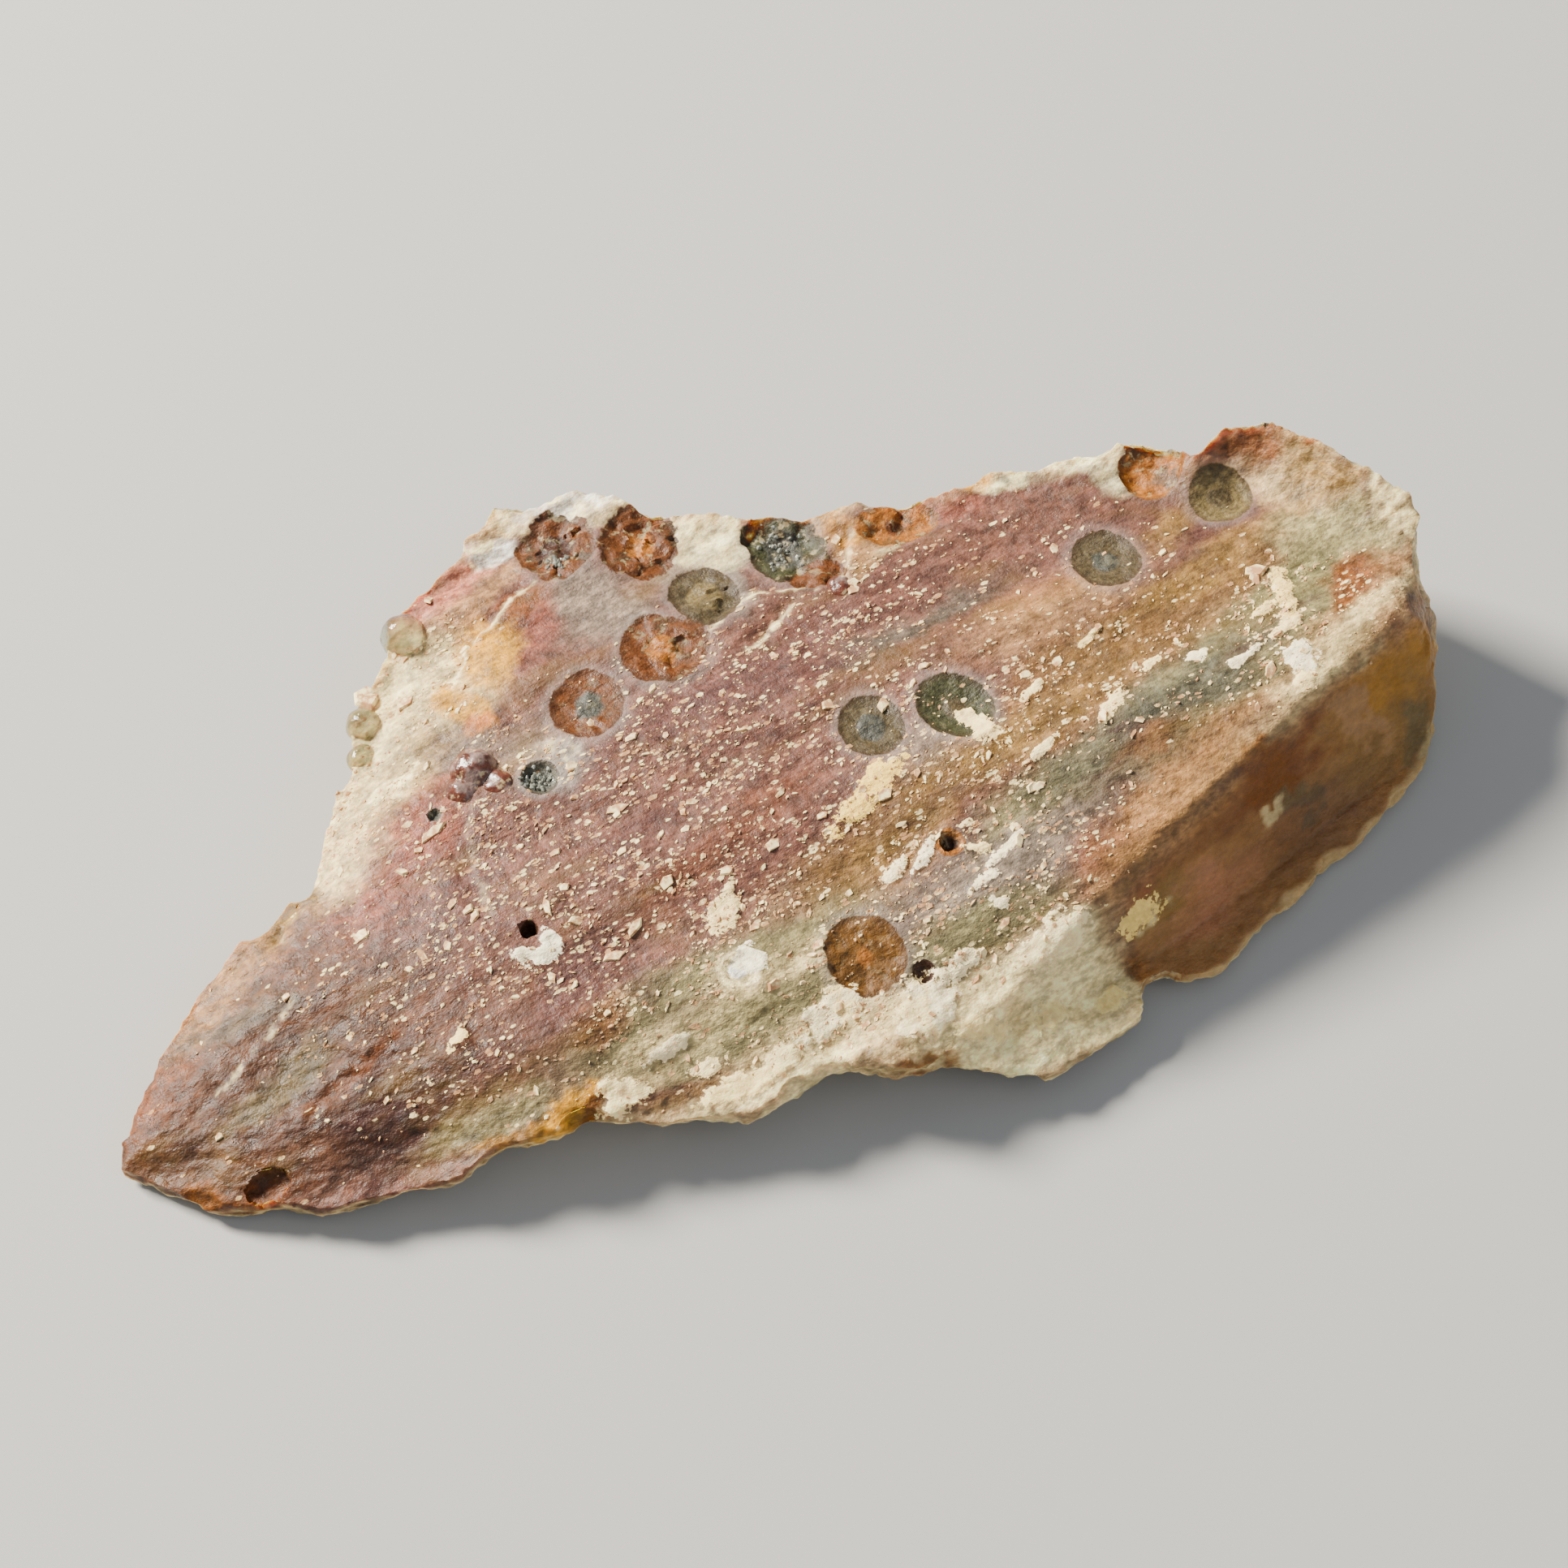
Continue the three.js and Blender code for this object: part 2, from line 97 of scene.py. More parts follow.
# Steep broken faces of the thick end, each through three points.
STEEP_FACES = (
    ((23.5, -10.3, 7.9), (14.2, -14.8, 5.7), (22.3, -15.3, 1.0)),
    ((30.7, -7.8, 8.4), (25.9, -9.2, 8.2), (31.5, -11.3, 1.2)),
    ((29.5, -3.0, 9.9), (31.0, -6.0, 8.9), (34.0, -1.0, 9.6)),
)

# Shallow scars that flakes left: x, y, radius, depth at the middle.
TOP_SCARS = (
    (4.2, 12.4, 6.4, 0.55), (-6.5, 19.0, 5.4, 0.6), (-28.4, -0.2, 3.6, 0.3), (-25.0, -5.2, 2.9, 0.3),
    (-22.3, -10.4, 3.8, 0.4), (-14.5, 9.0, 4.0, 0.25), (14.5, 6.5, 6.0, 0.3), (-9.5, -13.0, 4.5, 0.35),
    (5.5, -16.5, 3.6, 0.35), (28.2, -3.6, 3.0, 0.2), (2.0, -8.0, 6.5, 0.2),
)
UNDERSIDE_SCARS = (
    (-18, -3, 7, 0.5), (-5, -13, 5, 0.5), (10, 5, 6, 0.7), (24, -10, 5, 0.35), (-8, 9, 6, 0.7),
    (21, -1, 5.5, 0.6), (8, -15, 4.5, 0.45), (-27, -6, 4, 0.35), (1, 10, 5, 0.5), (-20, 4, 4.5, 0.4),
)

# Balls that dent the steep faces: a point of the face, the way it faces, radius, depth.
DENTS = (
    ((21.4, -12.9, 4.6), (0.15, -0.85, 0.5), 4.2, 0.5),
    ((27.6, -11.6, 4.4), (0.35, -0.85, 0.4), 4.5, 0.5),
    ((33.6, -4.9, 6.6), (0.8, -0.45, 0.4), 5.0, 0.3),
    ((16.3, -15.9, 3.0), (-0.1, -0.85, 0.5), 3.4, 0.35),
)

# Bites out of the rim: middle and half widths.
BITES = (
    ((-14.9, -14.3, 3.9), (1.5, 1.3, 1.0)),
    ((-29.2, -10.1, 2.05), (1.9, 1.2, 0.8)),
    ((-31.3, -9.4, 1.75), (0.9, 0.8, 0.5)),
    ((-23.3, 3.3, 3.1), (1.5, 0.9, 0.7)),
    ((13.0, -18.3, 2.1), (1.5, 1.3, 1.4)),
    ((0.2, -18.6, 3.1), (2.4, 1.3, 0.8)),
)

# Small holes: x, y, radius, depth.
PITS = ((-9.9, 2.8, 0.85, 0.5), (-13.5, -4.5, 0.42, 1.0), (2.1, -13.9, 0.5, 0.4), (5.9, -8.8, 0.45, 0.6),
        (-15.1, 3.3, 0.3, 0.4))

# Broad fields that fade out: x, y, half length, half width, how fast they rise in y along x, how
# far out they start and are full, and their strength.
Field = namedtuple("Field", "x y half_length half_width rise start full strength")
CALM_FIELD = Field(14.5, 3, 2.6, 1.1, 0, 3.4, 1.2, 0.45)
SCALY_FIELD = Field(-14, 9, 6, 3.5, 0.9, 1.4, 0.7, 0.5)
FLECK_FIELDS = (
    Field(-1, -2.1, 22, 9.5, 0.1, 1.35, 0.55, 1),
    Field(22, -5, 10, 4.5, 0, 1.3, 0.4, 0.8),
    Field(-15.5, 8.5, 6.5, 4, 0.8, 1.3, 0.6, 0.9),
    Field(2, -11.5, 13, 4.2, 0, 1.3, 0.6, 0.85),
)
FLECKLESS_FIELD = Field(15, 2.2, 6, 2.6, 0, 1.5, 0.5, 0.75)
TIP_FLECKS = 0.06

FAR_FROM_ORBS = 3.0              # an orb's reach this far out no longer counts
FAR_FROM_CRUSTS = 2.5            # nor does a crust's
NO_CRUST = 9.0
CRUST_RAGGEDNESS, CRUST_HEIGHT = 0.5, 0.1
LIP_REACH, LIP_HEIGHT = 1.25, 0.06    # the rim that stands up round a whole orb
TOP_SLOPE, UNDER_SLOPE = 0.3, -0.35   # what counts as facing up, and as the underside
SNAP_SLOPE, SNAP_REACH = 0.25, 0.35   # points this near a broken face are put on it
STREAK_TURN = math.radians(6)    # the stone's colour streaks run this far round from +X
SKIN_TURN = math.radians(-25)    # and the fine wrinkles of the tip this far
REST_SPOT_HEIGHT = 0.0
LEAST_THICKNESS = 0.6
BOX_MARGIN = 0.02                # the finished pieces stay this far inside the plain solid's box

# The blank is made coarse, shaped and cut, and then made even at the fine spacing.
SLAB_THICKNESS = 1.5
COARSE_SPACING = 0.3
LUMP_SPACING = 0.07
NODULE_GRAIN, NODULE_RELIEF = 0.6, 0.6

# Small shell-shaped chips round the rim.
CHIP_COUNT = 300
CHIP_RADIUS = (0.5, 1.9)
CHIP_DEPTH_SHARE = (0.06, 0.2)
CHIP_RISE = (0.3, 1.1)
TOP_CHIP_SHARE = 0.6

# Loose flakes on the top: where they are tried, and their sizes.
FLAKE_FIELD = ((-30, 32), (-19, 16))
FLAKE_CEILING = 9.3
FLAKE_LENGTH, FLAKE_SPREAD, FLAKE_LENGTH_LIMITS = 0.14, 0.65, (0.06, 1.2)
LONG_FLAKE_SHARE, LONG_FLAKE_STRETCH = 0.05, 2.2
FLAKE_SLIMNESS = (0.25, 0.75)
FLAKE_TURN, FLAKE_TURN_SPREAD, FLAKE_TILT = STREAK_TURN + 0.3, 0.6, 0.16
FLAKE_THICKNESS, FLAKE_THICKENING = 0.04, 0.09
FLAKE_SHARE, FLAKE_SHAKE = 0.8, 0.015
DROP_HEIGHT = 20

# Hollows lined with crystals: x, y, half width, half length, number of crystals.
CRYSTAL_HOLLOWS = ((-9.9, 2.8, 0.75, 0.75, 44), (6.2, 11.0, 1.3, 1.6, 34), (-4.1, 14.8, 0.5, 0.5, 18))
CRYSTAL_WIDTH, CRYSTAL_SLIMNESS, CRYSTAL_TILT = (0.12, 0.32), (0.8, 1.5), 0.35

# Seeds of the random draws.
CHIP_SEED, FLAKE_SEED, CRYSTAL_SEED = 5, 3, 8

# The stage: lights that point at the origin and the floor, in metres, and the camera.
KEY_PLACE, KEY_COLOUR = (-0.30, 0.405, 0.36), (1, 0.93, 0.82)
FILL_PLACE, FILL_COLOUR, FILL_SIZE = (0.25, -0.45, 0.45), (0.92, 0.96, 1), 0.5
SKY_COLOUR = (0.86, 0.92, 1, 1)
FLOOR_SIZE = 4
CAMERA_PLACE = (-32.53, -73.01, 125.8)    # in mm, like the stone
CAMERA_RIGHT = (0.9063, -0.4226, 0)
CAMERA_FORWARD = (0.2302, 0.4936, -0.8387)
CAMERA_LENS = 69.6
CAMERA_CLIP_START = 0.01


# ------------------------------------------------------------------ small maths

def ease(t):
    """Steep at 0, level at 1."""
    return 1 - (1 - np.clip(t, 0, 1)) ** 2


def smooth(start, end, value):
    t = np.clip((value - start) / (end - start), 0, 1)
    return t * t * (3 - 2 * t)


def lower(a, b, softness):
    """The lower of two faces, with the ridge between them worn round."""
    t = np.clip(0.5 + 0.5 * (b - a) / softness, 0, 1)
    return b + (a - b) * t - softness * t * (1 - t)


def upper(a, b, softness):
    """The higher of two faces, with the valley between them filled a little."""
    return -lower(-a, -b, softness)


def bow(t, before, after):
    """How far a curved face has fallen on each side of its crest."""
    return np.where(t < 0, before, after) * t * t


def unit(vectors):
    vectors = np.asarray(vectors, float)
    return vectors / np.maximum(np.linalg.norm(vectors, axis=-1, keepdims=True), 1e-12)


GRADIENT_COUNT = 1024
GRADIENTS = unit(np.random.default_rng(11).normal(size=(GRADIENT_COUNT, 3)))
CELL_POINTS = np.random.default_rng(12).random((GRADIENT_COUNT, 3))
HASH_PRIMES = np.array((73856093, 19349663, 83492791))
NOISE_GAIN = 1.6


def cell_hash(cells):
    mixed = cells * HASH_PRIMES
    return (mixed[:, 0] ^ mixed[:, 1] ^ mixed[:, 2]) % GRADIENT_COUNT


def noise(points, size, seed=0):
    """Smooth noise from about -1 to 1, whose lumps are about `size` apart. Each use has its own seed."""
    scaled = points / size + seed * 17.3
    cell = np.floor(scaled).astype(np.int64)
    part = scaled - cell
    fade = part ** 3 * (part * (6 * part - 15) + 10)
    total = np.zeros(len(points))
    for corner in product((0, 1), repeat=3):
        dots = (GRADIENTS[cell_hash(cell + corner)] * (part - corner)).sum(1)
        total += dots * np.prod(np.where(corner, fade, 1 - fade), axis=1)
    return total * NOISE_GAIN


def rough_noise(points, size, octaves, seed=0, fall=0.5):
    layers = [noise(points, size / 2 ** i, seed + i) * fall ** i for i in range(octaves)]
    return sum(layers)


def cells(points, size, seed=0):
    """Distance to the nearest of scattered points, in cells, and a random number from 0 to 1 for it."""
    scaled = points / size + seed * 9.1
    cell = np.floor(scaled).astype(np.int64)
    nearest = np.full(len(points), 9.0)
    tone = np.zeros(len(points))
    for step in product((-1, 0, 1), repeat=3):
        hashed = cell_hash(cell + step)
        gap = np.linalg.norm(cell + step + CELL_POINTS[hashed] - scaled, axis=1)
        closer = gap < nearest
        nearest = np.where(closer, gap, nearest)
        tone = np.where(closer, hashed / GRADIENT_COUNT, tone)
    return nearest, tone


def turned(points, turn):
    """The same points in a frame that is turned about Z."""
    x, y, z = points.T
    c, s = math.cos(turn), math.sin(turn)
    return np.stack([x * c + y * s, y * c - x * s, z], 1)


def along_streaks(points):
    """The same points in the streaks' frame: x along them, y across."""
    return turned(points, STREAK_TURN)


def oval_reach(x, y, middle, halves, degrees):
    """How far out each point lies in a turned oval: 0 at its middle, 1 at its edge."""
    c, s = math.cos(math.radians(degrees)), math.sin(math.radians(degrees))
    dx, dy = x - middle[0], y - middle[1]
    return np.hypot((dx * c + dy * s) / halves[0], (dy * c - dx * s) / halves[1])


def field_weight(points, field):
    """How strongly a broad field covers each point."""
    dx, dy = points[:, 0] - field.x, points[:, 1] - field.y
    reach = np.hypot(dx / field.half_length, (dy - field.rise * dx) / field.half_width)
    return field.strength * smooth(field.start, field.full, reach)


# ------------------------------------------------------------------ the broken faces as heights

def nearest_rim(x, y):
    """How far inside the rim each point is, and the rim's two heights at its nearest point."""
    nearest, low, high = np.full(x.shape, 1e9), np.zeros(x.shape), np.zeros(x.shape)
    inside = np.zeros(x.shape, bool)
    for (ax, ay, a_low, a_high), (bx, by, b_low, b_high) in zip(RIM, np.roll(RIM, -1, axis=0)):
        run = (x - ax) * (bx - ax) + (y - ay) * (by - ay)
        t = np.clip(run / ((bx - ax) ** 2 + (by - ay) ** 2), 0, 1)
        gap = np.hypot(x - ax - t * (bx - ax), y - ay - t * (by - ay))
        closer = gap < nearest
        nearest = np.where(closer, gap, nearest)
        low = np.where(closer, a_low + t * (b_low - a_low), low)
        high = np.where(closer, a_high + t * (b_high - a_high), high)
        if ay != by:
            inside ^= ((ay > y) != (by > y)) & (x < ax + (y - ay) / (by - ay) * (bx - ax))
    return np.where(inside, nearest, -nearest), low, high


def scar_depth(scars, x, y):
    """How deep the shallow scars are together."""
    return sum(depth * np.clip(1 - ((x - cx) ** 2 + (y - cy) ** 2) / radius ** 2, 0, 1)
               for cx, cy, radius, depth in scars)


def face_through(a, b, c):
    """The height of the flat face through three points, for any x and y."""
    a, b, c = (np.array(p, float) for p in (a, b, c))
    normal = np.cross(b - a, c - a)
    return lambda x, y: a[2] - (normal[0] * (x - a[0]) + normal[1] * (y - a[1])) / normal[2]


def underside_at(x, y, rim):
    """The underside's height: a low belly that climbs to the rim at the back and front."""
    depth, low, _ = rim
    belly = 0.0015 * (x - 4.4) ** 2 + 0.006 * (y + 3) ** 2 - 0.21
    back = (0.26 + 0.006 * x) * (y + 0.25 * x - 0.3)
    front = 0.32 * (-9 - y) * smooth(14, 4, x)
    inner = np.minimum(upper(upper(belly, back, 0.5), front, 0.5), 6)
    return low + (inner - low) * ease(depth / 5) + scar_depth(UNDERSIDE_SCARS, x, y) * ease(depth / 2)


def inner_top(x, y):
    """The top away from the rim, before the steep faces cut it."""
    main = 6.5 + 0.075 * x + 0.001 * x * x - bow(y + 1, 0.009, 0.0035)
    tip = 2.3 + 0.22 * (x + 30.4) - bow(y + 5, 0.02, 0.006)
    back_flank = 5.5 + 0.03 * (x + 11.6) - 0.09 * (y - 9.6)
    return lower(lower(main, tip, 0.6), back_flank, 0.6)


def steep_faces_at(x, y):
    """The lower of the two long steep faces, whose ridge parts them from the top."""
    return np.min([face_through(*corners)(x, y) for corners in STEEP_FACES[:2]], axis=0)


def top_at(x, y, rim):
    """The top's height: rolled down to the rim, cut by the steep faces and scarred."""
    depth, _, high = rim
    inner = inner_top(x, y)
    waves = 0.12 * np.sin(2 * np.pi * (y / 6.4 + 0.9 * np.sin(x / 15) / np.pi))
    lobe = smooth(9, 4, np.hypot(x - 6, (y + 17) * 1.4))
    roll = 3.2 + 1.6 * smooth(0, -10, y) * smooth(12, 6, x) - 2.2 * lobe
    z = high + (inner + waves - high) * ease(depth / roll)
    for corners in STEEP_FACES:
        z = lower(z, face_through(*corners)(x, y) + 0.12 * np.sin(1.3 * x) * np.sin(1.7 * y + x), 0.8)
    return np.maximum(z - scar_depth(TOP_SCARS, x, y), underside_at(x, y, rim) + LEAST_THICKNESS)


# ------------------------------------------------------------------ colours and where they lie

def srgb(red, green, blue):
    """A colour given as 0 to 255 on a screen, as linear light."""
    return tuple(((c / 255 + 0.055) / 1.055) ** 2.4 if c > 10 else c / 255 / 12.92
                 for c in (red, green, blue))


PALETTE = {
    "mauve": srgb(101, 65, 53),
    "plum": srgb(78, 48, 45),
    "rose": srgb(134, 71, 51),
    "brown": srgb(84, 51, 29),
    "tan": srgb(152, 112, 70),
    "beige": srgb(228, 202, 142),
    "cream": srgb(250, 228, 166),
    "white": srgb(250, 246, 232),
    "grey": srgb(121, 108, 92),
    "sage": srgb(120, 114, 74),
    "slate": srgb(73, 70, 59),
    "ochre": srgb(126, 96, 42),
    "amber": srgb(112, 62, 0),
    "yellow": srgb(188, 132, 10),
    "rust": srgb(108, 55, 13),
    "umber": srgb(50, 25, 13),
    "olive": srgb(99, 84, 51),
    "moss": srgb(55, 55, 33),
    "orange": srgb(174, 93, 15),
    "honey": srgb(163, 112, 37),
    "gold": srgb(156, 106, 22),
    "mist": srgb(160, 147, 100),
    "tawny": srgb(96, 62, 16),
    "fawn": srgb(142, 99, 52),
    "russet": srgb(92, 50, 18),
    "copper": srgb(146, 88, 28),
    "bronze": srgb(70, 59, 38),
    "flint": srgb(59, 59, 51),
    "blush": srgb(188, 117, 92),
    "celadon": srgb(250, 238, 182),
}

Stain = namedtuple("Stain", "colour x y half_length half_width turn softness strength")
Orb = namedtuple("Orb", "x y width length turn depth outer inner eye halo broken")
Crust = namedtuple("Crust", "x y half_length half_width turn tone")

# Stains in the order they lie over each other, the front lobe's partly painted light among them: colour, x,
# y, half length, half width, turn in degrees, how soft the edge is, strength.
STAINS = (
    ("brown", -28, -5, 10.5, 7.5, 10, 0.5, 1.0),
    ("tan", -27.0, 0.9, 5, 1.7, 30, 0.5, 0.8),
    ("slate", -27.4, -1.9, 3.4, 0.9, -14, 0.7, 0.6),
    ("rust", -31.6, -3.6, 2.8, 1.3, 38, 0.6, 0.75),
    ("umber", -27.5, -6.0, 7.0, 3.6, 10, 0.9, 0.52),
    ("sage", -26.6, -5.6, 3.4, 0.9, 14, 0.6, 0.35),
    ("umber", -21.6, -9.4, 4.6, 2.7, 8, 0.6, 1.0),
    ("rust", -22.9, -7.0, 3.2, 0.7, 18, 0.6, 0.6),
    ("brown", -16.5, -7.6, 5, 1.8, 10, 0.6, 0.5),
    ("rose", -17.2, 2.8, 5.6, 2.4, 32, 0.6, 0.8),
    ("plum", -17, -1.5, 4.5, 2, 20, 0.6, 0.4),
    ("beige", -17.6, 7.2, 6.5, 2.8, 48, 0.4, 0.95),
    ("beige", -12.5, 11.2, 3.5, 3.6, 30, 0.4, 0.85),
    ("tan", -15.5, 6.4, 4.5, 1.6, 42, 0.7, 0.6),
    ("sage", -14.2, 8.6, 5.5, 2.6, 48, 0.7, 0.35),
    ("cream", -13.2, 13.0, 2.6, 1.0, 50, 0.3, 0.8),
    ("cream", -16.4, 6.3, 1.5, 0.5, 40, 0.3, 0.8),
    ("blush", -9.6, 15.9, 3.2, 1.3, 18, 0.5, 0.95),
    ("tan", -8.2, 14.7, 3.6, 1.0, 16, 0.6, 0.7),
    ("white", -6.7, 17.2, 1.3, 0.9, 0, 0.5, 0.85),
    ("beige", -5.3, 18.7, 1.7, 1.0, -30, 0.5, 0.9),
    ("white", -2.0, 17.9, 3.2, 1.0, -14, 0.5, 0.95),
    ("beige", -0.9, 16.4, 1.4, 1.1, -30, 0.5, 0.7),
    ("grey", -3.6, 12.4, 2.4, 2.0, 0, 0.6, 0.75),
    ("grey", -3.2, 10.0, 2.6, 1.4, 0, 0.6, 0.7),
    ("grey", 0.9, 12.0, 2.2, 0.9, 20, 0.5, 0.7),
    ("grey", 3.5, 9.6, 0.8, 2.4, 0, 0.5, 0.85),
    ("rose", -7.0, 11.6, 1.6, 2.6, -20, 0.6, 0.6),
    ("rust", -7.7, 12.7, 1.9, 0.7, 36, 0.5, 0.95),
    ("yellow", -9.2, 11.2, 1.3, 2.2, -16, 0.6, 0.9),
    ("yellow", -11.4, 8.7, 1.0, 1.9, 10, 0.4, 0.95),
    ("orange", -11.3, 7.5, 0.8, 0.6, 0, 0.5, 0.85),
    ("grey", -12.6, 6.2, 1.7, 1.1, 0, 0.6, 0.7),
    ("grey", -9.6, 4.6, 2.4, 2.0, 30, 0.7, 0.6),
    ("white", -8.6, 3.2, 1.1, 1.7, 0, 0.7, 0.25),
    ("cream", 3.2, 13.6, 2.6, 1.0, -25, 0.5, 0.85),
    ("celadon", 3.4, 12.2, 2.0, 1.6, -20, 0.5, 0.8),
    ("rust", 5.6, 13.0, 1.3, 0.8, -10, 0.4, 0.85),
    ("olive", 8.4, 11.7, 1.8, 0.8, -20, 0.4, 0.8),
    ("tan", 9.2, 8.4, 1.3, 2.0, -20, 0.4, 0.85),
    ("honey", 10.2, 9.8, 2.4, 1.2, -20, 0.5, 0.9),
    ("cream", 11.6, 8.2, 1.8, 0.4, 10, 0.5, 0.5),
    ("rose", 14.8, 8.9, 2.4, 0.9, -8, 0.6, 0.6),
    ("yellow", 17.1, 9.5, 1.2, 0.5, -10, 0.4, 0.95),
    ("celadon", 20.6, 8.4, 3.6, 0.8, -12, 0.4, 0.95),
    ("celadon", 22.6, 6.9, 1.3, 1.3, 0, 0.5, 0.75),
    ("plum", 0, 3.4, 9.5, 1.8, 6, 0.7, 0.6),
    ("plum", -4, -1.5, 9, 1.2, 14, 0.7, 0.35),
    ("rust", -2.5, -4.0, 7, 1.0, 16, 0.8, 0.35),
    ("slate", 9.8, 2.7, 5.4, 0.9, 10, 0.7, 0.75),
    ("umber", 13.2, 1.9, 2.2, 0.8, 10, 0.7, 0.45),
    ("tan", 16.2, 0.9, 5.2, 2.1, 14, 0.7, 0.8),
    ("rose", 16.0, 2.0, 3.0, 1.0, 14, 0.7, 0.35),
    ("brown", 17.5, 6.1, 6.5, 1.6, -4, 0.6, 0.3),
    ("ochre", 23.2, 2.4, 1.8, 1.1, 20, 0.7, 0.6),
    ("plum", 24.2, 1.5, 2.6, 0.5, 12, 0.6, 0.5),
    ("grey", 7.6, -3.4, 3.6, 1.5, 10, 0.6, 0.6),
    ("ochre", 8.2, -6.0, 10.5, 1.6, 9, 0.7, 0.75),
    ("brown", 16, -2.6, 7, 1.6, 12, 0.7, 0.6),
    ("ochre", 24.5, -0.6, 6.5, 1.1, 12, 0.7, 0.55),
    ("ochre", 2.0, -8.5, 5, 1.4, 12, 0.7, 0.5),
    ("sage", -6.5, -10.9, 8.5, 2.4, 4, 0.5, 0.8),
    ("beige", -7.0, -11.8, 6.5, 1.3, 4, 0.6, 0.6),
    ("sage", -4.5, -13.2, 5.5, 1.6, -4, 0.5, 0.7),
    ("grey", 5.4, -10.4, 5.5, 1.6, 8, 0.6, 0.6),
    ("sage", 12.4, -8.2, 6.0, 1.3, 16, 0.6, 0.8),
    ("tan", 23.0, -9.8, 12.0, 2.8, 23, 0.5, 0.95),
    ("tan", 27.2, -6.6, 6.0, 2.0, 18, 0.5, 0.85),
    ("beige", 24.8, -8.4, 3.0, 0.7, 17, 0.5, 0.5),
    ("ochre", 20.5, -2.2, 10, 2.4, 12, 0.7, 0.5),
    ("sage", 21.5, -6.3, 9.5, 2.4, 18, 0.5, 0.9),
    ("slate", 20.5, -6.5, 7.5, 1.6, 17, 0.7, 0.75),
    ("slate", 14.5, -7.6, 5.0, 1.2, 14, 0.6, 0.5),
    ("sage", 28.0, -2.9, 4.4, 1.7, 22, 0.6, 0.85),
    ("mist", 30.8, -1.6, 3.4, 2.0, -40, 0.6, 0.9),
    ("beige", 30.4, -6.3, 2.6, 0.7, 24, 0.5, 0.7),
    ("cream", 33.8, -2.6, 0.8, 2.6, 14, 0.5, 0.85),
    ("white", 32.2, 1.6, 1.4, 0.9, -50, 0.5, 0.7),
    ("tan", 30.6, 0.8, 1.6, 1.4, -50, 0.5, 0.5),
    ("mist", 26.0, -8.6, 3.4, 0.6, 17, 0.5, 0.8),
    ("rust", 29.7, -4.6, 2.3, 1.0, 38, 0.5, 0.85),
    ("rust", 16.6, -8.4, 2.4, 0.6, 16, 0.6, 0.6),
    ("rose", 12.4, -12.4, 2.0, 1.1, 24, 0.6, 0.45),
    ("brown", 18.5, -9.2, 6.0, 1.2, 17, 0.6, 0.3),
    ("beige", 25.4, -8.7, 8.5, 1.2, 23, 0.6, 0.5),
    ("fawn", 17.0, -11.2, 6.0, 2.0, 20, 0.6, 0.75),
    ("slate", 12.6, -10.2, 3.6, 0.8, 17, 0.6, 0.4),
    ("tan", 16.5, -10.8, 3.2, 0.9, 17, 0.6, 0.3),
    ("tan", 29.4, 3.0, 3.8, 1.8, -30, 0.6, 0.8),
    ("beige", 29.8, 2.4, 3.0, 1.5, -42, 0.7, 0.45),
    ("rose", 28.4, 5.0, 3.2, 1.4, -25, 0.6, 0.5),
    ("rust", 28.0, 4.8, 3.2, 0.6, -18, 0.6, 0.6),
    ("ochre", 31.2, 1.2, 1.8, 1.5, -50, 0.6, 0.7),
    ("orange", 31.2, 3.4, 1.8, 0.6, -50, 0.5, 0.6),
    ("rust", -12.2, -9.9, 1.4, 1.0, 20, 0.6, 0.6),
    ("plum", -12.4, -7.6, 2.4, 1.0, 20, 0.6, 0.6),
    ("beige", -2.6, -14.5, 5.4, 1.3, -2, 0.5, 0.9),
    ("beige", 1.4, -15.4, 3.4, 1.5, 0, 0.5, 0.8),
    # The front lobe: its own pale cream, laid on at full strength as partly painted light, so that it looks
    # lit though it faces away from the key light.
    ("cream", 6.0, -17.0, 6.2, 2.6, 6, 0.4, 1.0),
    ("honey", 8.6, -17.4, 2.2, 0.8, 20, 0.8, 0.35),
    ("honey", 5.4, -17.8, 1.4, 0.9, 60, 0.8, 0.45),
    ("cream", 7.0, -18.8, 5.2, 0.9, 4, 0.4, 0.8),
    ("beige", 9.0, -14.9, 2.6, 1.0, 8, 0.5, 0.6),
    ("cream", 9.2, -15.7, 2.8, 1.3, 10, 0.5, 0.85),
    ("grey", 7.6, -11.4, 5.8, 1.6, 12, 0.6, 0.8),
    ("sage", 5.4, -13.2, 5.2, 1.2, 2, 0.6, 0.8),
    ("tan", 11.6, -14.3, 1.4, 1.1, 30, 0.6, 0.6),
    ("rust", 11.4, -16.0, 1.6, 0.5, -4, 0.5, 0.5),
    ("ochre", -8.6, -14.8, 3.6, 0.7, -14, 0.5, 0.5),
    ("cream", -6.0, -15.4, 3.8, 0.7, -4, 0.5, 0.75),
    ("sage", -18.4, -12.0, 3.6, 1.0, 0, 0.5, 0.7),
    ("gold", -17.6, -13.0, 2.6, 0.4, -6, 0.5, 0.75),
    ("yellow", -14.9, -13.0, 2.0, 1.0, 14, 0.4, 0.95),
    ("amber", -13.7, -13.3, 0.9, 0.4, 10, 0.4, 0.9),
    ("amber", -31.0, -9.1, 1.5, 1.0, -30, 0.5, 0.95),
    ("russet", -28.9, -9.8, 1.8, 0.9, -14, 0.4, 0.95),
    ("amber", -30.2, -10.3, 1.0, 0.5, -20, 0.4, 0.9),
    ("amber", 12.9, -17.0, 1.6, 1.0, 0, 0.4, 0.95),
    ("ochre", -23.4, 2.5, 1.9, 0.7, 34, 0.3, 0.9),
    ("amber", 0.2, -17.8, 2.2, 0.7, 0, 0.3, 0.9),
    ("amber", 21.0, -11.8, 2.1, 0.8, 4, 0.5, 0.9),
)

